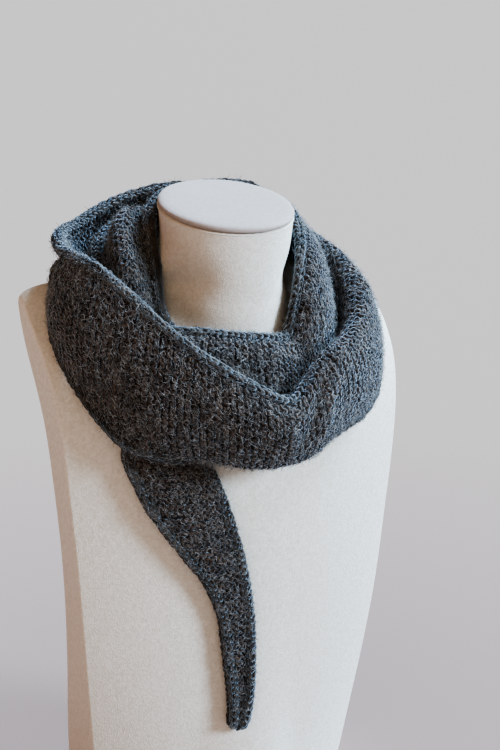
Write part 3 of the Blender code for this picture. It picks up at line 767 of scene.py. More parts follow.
@dataclass
class DisplayBust:
    """The neck display bust: a shaped form covered in cream velvet."""

    front_points: int = 52
    side_points: int = 2
    back_points: int = 20
    # Half of the angle that the front takes up as seen from the axis
    fan_angle: float = 80.0
    # Part of the neck's radius up to which its round front is followed, and
    # how steeply it falls away beyond that
    neck_limit: float = 0.96
    neck_fall: float = 3.4
    # The lowest outline is a little smaller, for the cover's turned edge
    base_share: float = 0.99
    # The shoulders' ridge: depth of its back, its least thickness, and the
    # part of the neck's blend that it has room for
    ridge_back: float = 58.0
    ridge_wall: float = 2.0
    ridge_blend: float = 0.6
    base_middle: float = 8.0
    # Sharpness of the base's edge and of the neck's seam
    creases: tuple[float, float] = (0.6, 0.95)
    relax_passes: int = 5
    # Weights of a point, of its neighbours up and down and of those beside it
    relax_weights: tuple[float, float, float] = (0.6, 0.25, 0.15)
    cap_points: int = 72
    seam_gap: float = 0.3
    # Slow dents in the padding: height, number round the cap and turn
    dents: tuple[tuple[float, float, float], ...] = ((0.25, 3.0, 0.7), (0.15, 5.0, 2.1))
    # They grow from this radius over this width, and lie above this height
    dent_start: float = 6.0
    dent_width: float = 40.0
    dent_floor: float = 4.0
    # Fine turned edge of the neck's cover, beside and under the seam
    welt_points: int = 120
    welt_radius: float = 0.55
    welt_inset: float = 0.1
    welt_height: float = -1.1

    def neck_depth(self, across: np.ndarray, height: float) -> np.ndarray:
        """Work out the depth of the neck's front, which falls away beside it.

        Args:
            across: Places across the bust.
            height: Height above the base.

        Returns:
            The depth at each place.
        """
        heights, radii = np.array(NECK_RADII).T
        radius = np.interp(height, heights, radii)
        limit = radius * self.neck_limit
        reach = np.abs(across)
        inside = -np.sqrt(np.maximum(radius ** 2 - np.minimum(reach, limit) ** 2, 0.0))
        return inside + np.maximum(reach - limit, 0.0) * self.neck_fall

    def measures(self, height: float) -> np.ndarray:
        """Half width and depths of the bust at a height."""
        table = np.array(BUST_SECTIONS)
        return smooth_curve(table[:, 0], table[:, 1:], np.array([height]))[0]

    def front_depth(self, across: np.ndarray, height: float) -> np.ndarray:
        """Work out the depth of the bust's front.

        Args:
            across: Places across the bust.
            height: Height above the base.

        Returns:
            The depth at each place.
        """
        half, edge, _rear, centre, _back = self.measures(height)
        chest = centre + (edge - centre) * (across / half) ** 2
        return self.lesser(chest, self.neck_depth(across, height), NECK_BLEND)

    def lesser(self, first: np.ndarray, second: np.ndarray, blend: float) -> np.ndarray:
        """Lesser of two depths with a rounded change between them."""
        near = np.maximum(blend - np.abs(first - second), 0.0) / blend
        return np.minimum(first, second) - near * near * blend / 4.0

    def fan(self, half: float, count: int, flip: bool = False) -> np.ndarray:
        """Work out places across, close together at the edges.

        Args:
            half: Half width.
            count: Number of places.
            flip: Whether they run the other way.

        Returns:
            The places.
        """
        angles = np.radians(np.linspace(-self.fan_angle, self.fan_angle, count))
        across = half * np.sin(angles) / math.sin(math.radians(self.fan_angle))
        return across[::-1] if flip else across

    def outline(
        self,
        half: float,
        front: np.ndarray,
        rear_edge: float,
        rear_centre: float,
        height: float,
    ) -> np.ndarray:
        """Work out one level outline of the bust.

        Args:
            half: Half width.
            front: Depths along the front.
            rear_edge: Depth of the rear edge.
            rear_centre: Depth of the middle of the back.
            height: Height above the base.

        Returns:
            The points of the outline.
        """
        across = [self.fan(half, self.front_points)]
        depth = [front]
        parts = np.linspace(0.0, 1.0, self.side_points + 2)[1:-1]
        across.append(np.full(self.side_points, half))
        depth.append(front[-1] + (rear_edge - front[-1]) * parts)
        back = self.fan(half, self.back_points, flip=True)
        across.append(back)
        depth.append(rear_edge + (rear_centre - rear_edge) * (1.0 - (back / half) ** 2))
        across.append(np.full(self.side_points, -half))
        depth.append(rear_edge + (front[0] - rear_edge) * parts)
        across, depth = np.concatenate(across), np.concatenate(depth)
        return np.stack((across, depth, np.full(len(across), height)), axis=1)

    def rings(self) -> np.ndarray:
        """Work out the outlines of the bust from its base to the neck seam.

        Returns:
            Points, as outlines by points by three.
        """
        rings = []
        for height in BUST_ROW_HEIGHTS:
            half, _edge, rear, _centre, back = self.measures(height)
            front = self.front_depth(self.fan(half, self.front_points), height)
            rings.append(self.outline(half, front, rear, back, height))
        rings[0][:, :2] *= self.base_share
        for height, half, edge, rear in SHOULDER_RIDGE:
            across = self.fan(half, self.front_points)
            front = self.lesser(
                np.full(len(across), edge), self.neck_depth(across, height),
                NECK_BLEND * self.ridge_blend,
            )
            front = np.minimum(front, min(front[-1], rear - self.ridge_wall))
            rings.append(self.outline(half, front, rear, self.ridge_back, height))
        return np.array(rings + [self.neck_ring(height) for height in NECK_ROW_HEIGHTS])

    def neck_ring(self, height: float) -> np.ndarray:
        """Work out an outline of the neck, which leans over to the slant of its top.

        Args:
            height: Height of the outline on the neck's axis.

        Returns:
            Its points.
        """
        radius = np.interp(height, *np.array(NECK_RADII).T)
        base = NECK_ROW_HEIGHTS[0]
        lean = (height - base) / (NECK_AXIS_HEIGHT - base)
        if height >= NECK_AXIS_HEIGHT:
            radius = NECK_TOP_RADIUS
        rise = math.tan(math.radians(NECK_TILT)) * lean
        shorten = 1.0 + (math.cos(math.radians(NECK_TILT)) - 1.0) * lean
        edge, rear = self.fan_angle, 180.0 - self.fan_angle
        angles = np.concatenate((
            np.linspace(-edge, edge, self.front_points),
            np.linspace(edge, rear, self.side_points + 2)[1:-1],
            np.linspace(rear, 360.0 - rear, self.back_points),
            np.linspace(360.0 - rear, 360.0 - edge, self.side_points + 2)[1:-1],
        ))
        across = radius * np.sin(np.radians(angles))
        depth = -radius * np.cos(np.radians(angles)) * shorten
        return np.stack((across, depth, height + depth * rise), axis=1)

    def relax(self, rings: np.ndarray) -> np.ndarray:
        """Even out the outlines where the neck grows out of the shoulders.

        Args:
            rings: The outlines.

        Returns:
            The outlines with their points moved.
        """
        rings = rings.copy()
        own, upright, level = self.relax_weights
        first, last = len(BUST_ROW_HEIGHTS) - 2, len(rings) - 2
        inner = slice(first, last)
        for _ in range(self.relax_passes):
            middle = (rings[:-2] + rings[2:]) / 2.0
            round_mean = (np.roll(rings, 1, axis=1) + np.roll(rings, -1, axis=1)) / 2.0
            rings[inner] = (
                rings[inner] * own
                + middle[first - 1:last - 1] * upright
                + round_mean[inner] * level
            )
        return rings

    def make_body(self, velvet: bpy.types.Material) -> bpy.types.Object:
        """Build the covered body as a smooth skin in place of its plain solid.

        Args:
            velvet: Finish.

        Returns:
            The new piece.
        """
        rings = self.relax(self.rings())
        centres = np.array(((0.0, self.base_middle, 0.0), (0.0, 0.0, NECK_AXIS_HEIGHT)))
        body = add_piece("bust_velvet_body", *closed_skin(rings, centres), velvet)
        self.crease_rims(body, *rings.shape[:2])
        smooth = body.modifiers.new("smooth", "SUBSURF")
        smooth.levels = smooth.render_levels = 2
        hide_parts("bust_body")
        return body

    def crease_rims(self, body: bpy.types.Object, levels: int, count: int) -> None:
        """Keep the neck seam and the base edge crisp.

        Args:
            body: The covered body.
            levels: Number of its outlines.
            count: Number of points in each.
        """
        mesh = body.data
        edges = np.zeros(len(mesh.edges) * 2, dtype=np.int32)
        mesh.edges.foreach_get("vertices", edges)
        edges = edges.reshape(-1, 2)
        attribute = mesh.attributes.new("crease_edge", "FLOAT", "EDGE")
        weights = np.zeros(len(edges), dtype=np.float32)
        for level, weight in zip((0, levels - 1), self.creases):
            inside = (edges // count == level).all(axis=1)
            weights[inside] = weight
        attribute.data.foreach_set("value", weights)

    def cap_place(self, radius: np.ndarray, angle: np.ndarray, height: np.ndarray) -> np.ndarray:
        """Put points of the level cap on the slanted neck top.

        Args:
            radius: Distances from the neck's axis.
            angle: Angles round it.
            height: Heights over the seam.

        Returns:
            The points.
        """
        tilt = math.radians(NECK_TILT)
        across, depth = radius * np.cos(angle), radius * np.sin(angle)
        level = height + self.seam_gap
        return np.stack((
            across,
            depth * math.cos(tilt) - level * math.sin(tilt),
            NECK_AXIS_HEIGHT + depth * math.sin(tilt) + level * math.cos(tilt),
        ), axis=-1)

    def make_cap(self, velvet: bpy.types.Material) -> bpy.types.Object:
        """Build the thin padded top with its rolled rim.

        Args:
            velvet: Finish.

        Returns:
            The new piece.
        """
        angle = np.arange(self.cap_points) * math.tau / self.cap_points
        dent = sum(rise * np.sin(angle * waves + turn) for rise, waves, turn in self.dents)
        rings = []
        for radius, height in CAP_PROFILE:
            share = min(1.0, max(0.0, (radius - self.dent_start) / self.dent_width))
            sag = dent * share * (height > self.dent_floor)
            rings.append(self.cap_place(np.full(len(angle), radius), angle, height + sag))
        zero = np.zeros(1)
        centres = np.concatenate((
            self.cap_place(zero, zero, zero), self.cap_place(zero, zero, zero + CAP_HEIGHT),
        ))
        cap = add_piece("bust_velvet_cap", *closed_skin(np.array(rings), centres), velvet)
        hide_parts("bust_cap")
        return cap

    def make_welt(self, velvet: bpy.types.Material) -> bpy.types.Object:
        """Build the fine turned edge of the neck cover just below the cap.

        Args:
            velvet: Finish.

        Returns:
            The new piece.
        """
        count = self.welt_points
        angle = np.arange(count) * math.tau / count
        path = self.cap_place(
            np.full(count, NECK_TOP_RADIUS - self.welt_inset), angle,
            np.full(count, self.welt_height),
        )
        tilt = math.radians(NECK_TILT)
        # The tube goes on over its own start, so that it has no open end
        closed = np.concatenate((path, path[:2]))[None]
        ups = np.broadcast_to(np.array((0.0, -math.sin(tilt), math.cos(tilt))), closed.shape)
        basket = TubeBasket(sides=6)
        basket.add(closed, ups, np.full(closed.shape[:2], self.welt_radius))
        welt = basket.make("bust_neck_welt", velvet)
        return welt

    def build(self) -> list[bpy.types.Object]:
        """Build and dress the whole bust.

        Returns:
            Its pieces.
        """
        body_velvet = CottonVelvet().make()
        # The cap's velvet is a darker copy of the body's: painted shade that evens out the
        # stronger light on the top
        painted_shade_cap_velvet = CottonVelvet(
            name="cotton_velvet_on_padding", shade="#9d938d", light="#a99f9a", rise=0.2,
        ).make()
        return [
            self.make_body(body_velvet), self.make_cap(painted_shade_cap_velvet), self.make_welt(body_velvet),
        ]


# The band


@dataclass
class ScarfBand:
    """The long band of the scarf as one smooth surface.

    Places on it are told by the run, in millimetres from the hanging tip, and
    by the part across, from 0 at the inner edge to 1 at the outer edge.
    """

    bust: DisplayBust
    step: float = 1.4
    columns: int = 113
    cord_radius: float = 4.0
    ridge_spacing: float = 5.5
    # Least width of the band in radii of its cord, which gets thinner there
    least_width: float = 4.2
    # Trial places along the hanging end, and along the winding, six a degree
    hanging_trials: int = 900
    winding_trials: int = 5281
    # How blunt the ends of a fold are, less being blunter
    fold_taper: float = 0.7

    def __post_init__(self) -> None:
        """Work out the surface."""
        self.winding_keys = np.array([row[0] for row in WINDING], dtype=float)
        self.winding_values = np.array([row[1:] for row in WINDING], dtype=float)
        self.hanging_keys, self.hanging_rows = self.read_hanging()
        places = np.concatenate((
            np.linspace(-float(len(HANGING_END)), 0.0, self.hanging_trials),
            np.linspace(0.0, LAST_TURN - FIRST_TURN, self.winding_trials)[1:],
        ))
        trial = self.stations(places)
        # The band is as long as the mean of the lines along three stations
        steps = np.linalg.norm(np.diff(trial, axis=0), axis=2)[:, (1, 3, 6)].mean(axis=1)
        runs = np.concatenate(([0.0], np.cumsum(steps)))
        self.length = float(runs[-1])
        self.ridges = int(round(self.length / self.ridge_spacing))
        self.ridge_spacing = self.length / self.ridges
        rows = int(round(self.length / self.step)) + 1
        self.step = self.length / (rows - 1)
        self.runs = np.linspace(0.0, self.length, rows)
        self.places = np.interp(self.runs, runs, places)
        self.fill_grid()
        self.press_folds()

    def read_hanging(self) -> tuple[np.ndarray, np.ndarray]:
        """Work out the rows of the hanging end on the bust's chest.

        Returns:
            Their keys and the points across for each.
        """
        turns = np.array([FIRST_TURN + HANGING_LEAD, FIRST_TURN])
        rows = list(self.winding_stations(turns))
        part = np.arange(STATIONS) / (STATIONS - 1.0)
        for right, right_height, left, left_height, lift, arch in HANGING_END:
            across = right + (left - right) * part
            height = right_height + (left_height - right_height) * part
            depth = np.array([
                self.bust.front_depth(np.array([x]), z)[0] for x, z in zip(across, height)
            ])
            depth += -lift - arch * 4.0 * part * (1.0 - part)
            rows.append(np.stack((across, depth, height), axis=1))
        keys = np.array([HANGING_LEAD_PLACE] + [float(index) for index in range(len(rows) - 1)])
        return keys, np.array(rows)

    def winding_stations(self, turns: np.ndarray) -> np.ndarray:
        """Work out points across the winding.

        Args:
            turns: Turn angles.

        Returns:
            Points, as turns by stations by three.
        """
        values = smooth_curve(self.winding_keys, self.winding_values, turns)
        radius, height = values[:, 0::2], values[:, 1::2]
        angle = -np.radians(turns)[:, None]
        return np.stack((radius * np.sin(angle), -radius * np.cos(angle), height), axis=2)

    def stations(self, places: np.ndarray) -> np.ndarray:
        """Work out points across the band.

        Args:
            places: Below 0 rows of the hanging end, above it turns from the first.

        Returns:
            Points, as places by stations by three.
        """
        result = np.empty((len(places), STATIONS, 3))
        low = places < 0.0
        if low.any():
            result[low] = smooth_curve(self.hanging_keys, self.hanging_rows, -places[low])
        if (~low).any():
            result[~low] = self.winding_stations(places[~low] + FIRST_TURN)
        return result

    def fill_grid(self) -> None:
        """Work out the points of the surface over the whole band."""
        stations = self.stations(self.places)
        steps = np.linalg.norm(np.diff(stations, axis=1), axis=2)
        lengths = np.concatenate((np.zeros((len(steps), 1)), np.cumsum(steps, axis=1)), axis=1)
        self.widths = lengths[:, -1]
        self.cords = np.minimum(self.cord_radius, self.widths / self.least_width)
        before = np.maximum(np.arange(STATIONS) - 1, 0)
        after = np.minimum(np.arange(STATIONS) + 1, STATIONS - 1)
        slopes = (stations[:, after] - stations[:, before]) / (
            lengths[:, after] - lengths[:, before]
        )[..., None]
        distance = self.widths[:, None] * np.linspace(0.0, 1.0, self.columns)
        spot = (distance[:, :, None] > lengths[:, None, 1:-1]).sum(axis=2)
        row = np.arange(len(stations))[:, None]
        span = (lengths[row, spot + 1] - lengths[row, spot])[..., None]
        part = (distance - lengths[row, spot])[..., None] / span
        self.grid = hermite(
            part, span, (stations[row, spot], slopes[row, spot]),
            (stations[row, spot + 1], slopes[row, spot + 1]),
        )
        self.find_directions()

    def find_directions(self) -> None:
        """Work out the directions onward, across and outward over the whole band."""
        self.onward = unit(np.gradient(self.grid, axis=0))
        self.across = unit(np.gradient(self.grid, axis=1))
        self.outward = unit(np.cross(self.onward, self.across))

    def run_of_turn(self, turn: float) -> float:
        """Run at a turn angle of the winding."""
        return float(np.interp(turn - FIRST_TURN, self.places, self.runs))

    def press_folds(self) -> None:
        """Press the soft folds of the table into the surface."""
        lift = np.zeros(self.grid.shape[:2])
        run = self.runs[:, None]
        part = np.linspace(0.0, 1.0, self.columns)[None]
        across = part * self.widths[:, None]
        for first_turn, first, last_turn, last, width, rise in FOLDS:
            first_run = self.run_of_turn(first_turn)
            last_run = self.run_of_turn(last_turn)
            wide = float(self.width_at((first_run + last_run) / 2.0))
            start = np.array((first_run, first * wide))
            line = np.array((last_run, last * wide)) - start
            long = float(np.hypot(*line))
            along = ((run - start[0]) * line[0] + (across - start[1]) * line[1]) / long
            beside = ((run - start[0]) * line[1] - (across - start[1]) * line[0]) / long
            taper = np.clip(along / long, 0.0, 1.0)
            taper = np.sin(math.pi * taper) ** self.fold_taper
            lift += rise * taper * np.exp(-(beside / width) ** 2)
        self.grid = self.grid + self.outward * lift[..., None]
        self.find_directions()

    def sample(self, table: np.ndarray, run: np.ndarray, part: np.ndarray) -> np.ndarray:
        """Read one of the surface's tables between its rows.

        Args:
            table: Table over the rows and columns of the surface.
            run: Distances along the band.
            part: Parts across the band.

        Returns:
            One value or vector for each place.
        """
        row = np.clip(run / self.step, 0.0, len(self.runs) - 1.001)
        column = np.clip(part * (self.columns - 1), 0.0, self.columns - 1.001)
        low, left = row.astype(int), column.astype(int)
        up, side = (row - low)[..., None], (column - left)[..., None]
        return between(table, low, left, up, side)

    def at(self, run: np.ndarray, part: np.ndarray, height: np.ndarray | float) -> np.ndarray:
        """Work out points at a height above the surface.

        Args:
            run: Distances along the band.
            part: Parts across the band.
            height: Heights above the surface, less than 0 for its inner face.

        Returns:
            The points.
        """
        run, part = np.broadcast_arrays(run, part)
        height = np.broadcast_to(height, run.shape)
        return self.sample(self.grid, run, part) + self.out(run, part) * height[..., None]

    def out(self, run: np.ndarray, part: np.ndarray) -> np.ndarray:
        """Outward direction at places."""
        return unit(self.sample(self.outward, run, part))

    def width_at(self, run: np.ndarray | float) -> np.ndarray:
        """Width of the band."""
        return np.interp(run, self.runs, self.widths)

    def cord_at(self, run: np.ndarray | float) -> np.ndarray:
        """Radius of the edge cord."""
        return np.interp(run, self.runs, self.cords)


# The knit


@dataclass
class SightMap:
    """Tells which places of the band can be seen from outside."""

    band: ScarfBand
    row_step: float = 6.0
    columns: int = 15
    # Part across of the first column, which stands for the cord
    edge: float = 0.03
    # Height over the cloth at which the rays start, and how far they go
    height: float = 3.4
    reach: float = 600.0
    ray_count: int = 40
    # A ray counts if its direction goes outward by this part or more
    least_rise: float = 0.12
    openness: dict[Face, np.ndarray] = field(default_factory=dict)

    def measure(self, blockers: list[bpy.types.Object]) -> None:
        """Cast rays from both faces of the cloth past everything else.

        Args:
            blockers: Pieces that hide the cloth.
        """
        corners: list[tuple[float, ...]] = []
        polygons: list[tuple[int, ...]] = []
        for piece in blockers:
            base = len(corners)
            corners += [tuple(vertex.co) for vertex in piece.data.vertices]
            polygons += [
                tuple(base + index for index in face.vertices) for face in piece.data.polygons
            ]
        tree = BVHTree.FromPolygons(corners, polygons)
        rows = int(self.band.length / self.row_step) + 1
        self.runs = np.linspace(0.0, self.band.length, rows)
        parts = np.linspace(self.edge, 1.0 - self.edge, self.columns)
        run, part = np.meshgrid(self.runs, parts, indexing="ij")
        # A spiral with the golden angle spreads the rays evenly over a ball
        golden = math.pi * (3.0 - math.sqrt(5.0))
        level = 1.0 - 2.0 * (np.arange(self.ray_count) + 0.5) / self.ray_count
        spin = np.arange(self.ray_count) * golden
        ring = np.sqrt(1.0 - level ** 2)
        rays = np.stack((ring * np.cos(spin), ring * np.sin(spin), level), axis=1)
        for face in Face:
            sources = self.band.at(run, part, face.value * self.height) * MM
            outward = self.band.out(run, part) * face.value
            seen = np.zeros(run.shape)
            for row in range(run.shape[0]):
                for column in range(run.shape[1]):
                    seen[row, column] = self.count_clear(
                        tree, sources[row, column], outward[row, column], rays,
                    )
            self.openness[face] = self.spread(seen)

    def count_clear(
        self, tree: BVHTree, source: np.ndarray, outward: np.ndarray, rays: np.ndarray,
    ) -> float:
        """Work out the share of rays over a place that meet nothing.

        Args:
            tree: The surfaces that can block a ray.
            source: Where the rays start.
            outward: Outward direction there.
            rays: Directions all round.

        Returns:
            The share, from 0 to 1.
        """
        facing = rays[rays @ outward > self.least_rise]
        start, far = Vector(source), self.reach * MM
        clear = sum(1 for ray in facing if tree.ray_cast(start, Vector(ray), far)[0] is None)
        return clear / max(len(facing), 1)

    def spread(self, seen: np.ndarray) -> np.ndarray:
        """Let each place take the best of its neighbours.

        Args:
            seen: Share of clear rays at each place.

        Returns:
            The best share round each place.
        """
        wide = np.pad(seen, 1, mode="edge")
        near = [
            wide[row:row + seen.shape[0], column:column + seen.shape[1]]
            for row in range(3) for column in range(3)
        ]
        return np.max(near, axis=0)

    def share(self, face: Face, run: np.ndarray, part: np.ndarray) -> np.ndarray:
        """Tell how open to sight places on one face are.

        Args:
            face: The face of the knit.
            run: Distances along the band.
            part: Parts across the band.

        Returns:
            The share of clear rays at each place.
        """
        row = np.clip(np.round(run / self.band.length * (len(self.runs) - 1)), 0, None)
        inner = (part - self.edge) / (1.0 - 2.0 * self.edge)
        column = np.clip(np.round(inner * (self.columns - 1)), 0, self.columns - 1)
        row = np.minimum(row.astype(int), len(self.runs) - 1)
        return self.openness[face][row, column.astype(int)]


@dataclass
class KnitGround:
    """The ground of the garter knit, between and under its ridges, in a darker yarn that is
    painted shade.
    """

    band: ScarfBand
    across_cells: int = 24
    wall: float = 0.8
    rise: float = 0.5
    # Distance from both ends of the band, and from its edges in cord radii
    end_gap: float = 1.5
    margin: float = 1.2

    def make(self, yarn: bpy.types.Material) -> bpy.types.Object:
        """Build the ground as one thin closed sheet.

        Args:
            yarn: Finish.

        Returns:
            The new piece.
        """
        band = self.band
        runs = np.linspace(self.end_gap, band.length - self.end_gap, band.ridges * 2 + 1)
        cords = band.cord_at(runs) * self.margin / band.width_at(runs)
        parts = cords[:, None] + (1.0 - 2.0 * cords[:, None]) * np.linspace(
            0.0, 1.0, self.across_cells + 1,
        )
        run = np.broadcast_to(runs[:, None], parts.shape)
        ridge = (np.arange(len(runs)) % 2)[:, None]
        front = band.at(run, parts, self.wall + self.rise * ridge)
        back = band.at(run, parts, -self.wall - self.rise * (1 - ridge))
        rows, columns = parts.shape
        top = np.arange(rows * columns).reshape(rows, columns)
        bottom = top + rows * columns
        faces = [
            self.cells(top, False),
            self.cells(bottom, True),
            self.rim(top[:, 0], bottom[:, 0], True),
            self.rim(top[:, -1], bottom[:, -1], False),
            self.rim(top[0], bottom[0], False),
            self.rim(top[-1], bottom[-1], True),
        ]
        points = np.concatenate((front.reshape(-1, 3), back.reshape(-1, 3)))
        return add_piece("scarf_knit_ground", points, faces, yarn)

    def cells(self, grid: np.ndarray, flip: bool) -> np.ndarray:
        """Make the four-cornered faces of a grid of corners.

        Args:
            grid: Numbers of the corners.
            flip: Whether the faces look the other way.

        Returns:
            The faces.
        """
        faces = np.stack((grid[:-1, :-1], grid[1:, :-1], grid[1:, 1:], grid[:-1, 1:]), axis=-1)
        faces = faces.reshape(-1, 4)
        return faces[:, ::-1] if flip else faces

    def rim(self, upper: np.ndarray, lower: np.ndarray, flip: bool) -> np.ndarray:
        """Faces that close the sheet along one edge."""
        faces = np.stack((upper[:-1], lower[:-1], lower[1:], upper[1:]), axis=-1)
        return faces[:, ::-1] if flip else faces


@dataclass
class PurlRidges:
    """The ridges of purl bumps, each one yarn that weaves up and down."""

    band: ScarfBand
    sight: SightMap
    face: Face
    pitch: float = 4.7
    swing: float = 1.4
    base_height: float = 1.1
    bump_rise: float = 0.9
    yarn_radius: float = 1.08
    bulge: float = 0.055
    drift: float = 1.5
    puff: float = 0.4
    # Where the ridges stop beside the edge cord, in radii of the cord
    margin: float = 2.1
    points_per_stitch: int = 7
    least_sight: float = 0.02
    # Least distance of a ridge from the band's ends
    end_gap: float = 3.0
    # Turn of the bumps from one ridge to the next, so that they don't line up
    stagger: float = 1.3
    # Uneven knitting: place and rise in millimetres, swing and radius in parts
    uneven_place: float = 0.4
    uneven_swing: float = 0.25
    uneven_rise: float = 0.2
    uneven_radius: float = 0.11
    # Thickness of the yarn's ends, where they go into the knit
    end_taper: float = 0.4

    def ridge_path(
        self, index: int, draw: np.random.Generator, wander: SoftNoise, height: SoftNoise,
    ) -> tuple[np.ndarray, ...]:
        """Work out the centre line of one ridge's yarn.

        Args:
            index: Number of the ridge from the hanging tip.
            draw: Source of small uneven sizes.
            wander: Slow drift of the ridges along the band.
            height: Slow change of how far the bumps stand out.

        Returns:
            Points, outward directions, radii and how open to sight each is.
        """
        band = self.band
        offset = 0.5 if self.face is Face.OUTER else 0.0
        run = (index + offset) * band.ridge_spacing
        run = min(max(run, self.end_gap), band.length - self.end_gap)
        width, cord = float(band.width_at(run)), float(band.cord_at(run))
        first, last = cord * self.margin, width - cord * self.margin
        stitches = max(2, int(round((last - first) / self.pitch)))
        pitch = (last - first) / stitches
        count = stitches * self.points_per_stitch + 1
        turn = np.linspace(0.0, math.tau * stitches, count)
        spot = np.minimum((np.arange(count) / self.points_per_stitch).astype(int), stitches - 1)
        wave = np.sin(turn + index * self.stagger)
        lean = np.sin(2.0 * (turn + index * self.stagger))
        uneven = draw.normal(0.0, 1.0, (3, stitches))
        blend = np.arange(count) / self.points_per_stitch - spot
        ahead = np.minimum(spot + 1, stitches - 1)
        uneven = uneven[:, spot] * (1.0 - blend) + uneven[:, ahead] * blend
        place = first + pitch * turn / math.tau - self.bulge * pitch * 2.0 * lean
        place = place + self.uneven_place * uneven[0]
        swing = self.swing * (1.0 + self.uneven_swing * uneven[1])
        along = run + swing * wave
        along = along + self.drift * wander.at(np.full(count, run), place)
        rise = self.base_height + self.bump_rise * wave ** 2 + self.uneven_rise * uneven[2]
        rise = rise + self.puff * height.at(np.full(count, run), place)
        part = np.clip(place / width, 0.0, 1.0)
        points = band.at(along, part, self.face.value * rise)
        outward = band.out(along, part) * self.face.value
        radii = self.yarn_radius * (1.0 + self.uneven_radius * uneven[2]) * np.ones(count)
        seen = self.sight.share(self.face, along, part)
        return points, outward, radii, seen

    def runs_of(self, seen: np.ndarray) -> list[tuple[int, int]]:
        """Find the stretches of a ridge that can be seen.

        Args:
            seen: How open to sight each point is.

        Returns:
            The first point of each stretch and the point after its last.
        """
        visible = seen >= self.least_sight
        edges = np.flatnonzero(np.diff(np.concatenate(([0], visible.astype(int), [0]))))
        return [
            (int(a), int(b)) for a, b in zip(edges[0::2], edges[1::2])
            if b - a >= self.points_per_stitch
        ]

    def make(self, first: int, last: int, name: str, yarn: bpy.types.Material) -> bpy.types.Object:
        """Build the ridges from one number to another as one piece.

        Args:
            first: First ridge.
            last: Ridge after the last one.
            name: Name of the piece.
            yarn: Finish.

        Returns:
            The new piece.
        """
        shift = 0 if self.face is Face.OUTER else INNER_FACE_SHIFT
        wander = SoftNoise(WANDER_SEED + shift)
        height = SoftNoise(PUFF_SEED + shift, cell=22.0, rows=128, columns=14)
        basket = TubeBasket(sides=4)
        for index in range(first, last):
            draw = np.random.default_rng(RIDGE_SEED + shift + index)
            points, outward, radii, seen = self.ridge_path(index, draw, wander, height)
            for start, end in self.runs_of(seen):
                radius = radii[start:end].copy()
                radius[0] *= self.end_taper
                radius[-1] *= self.end_taper
                basket.add(points[None, start:end], outward[None, start:end], radius[None])
        LOG.info("%s: %d triangles", name, basket.triangles())
        return basket.make(name, yarn)


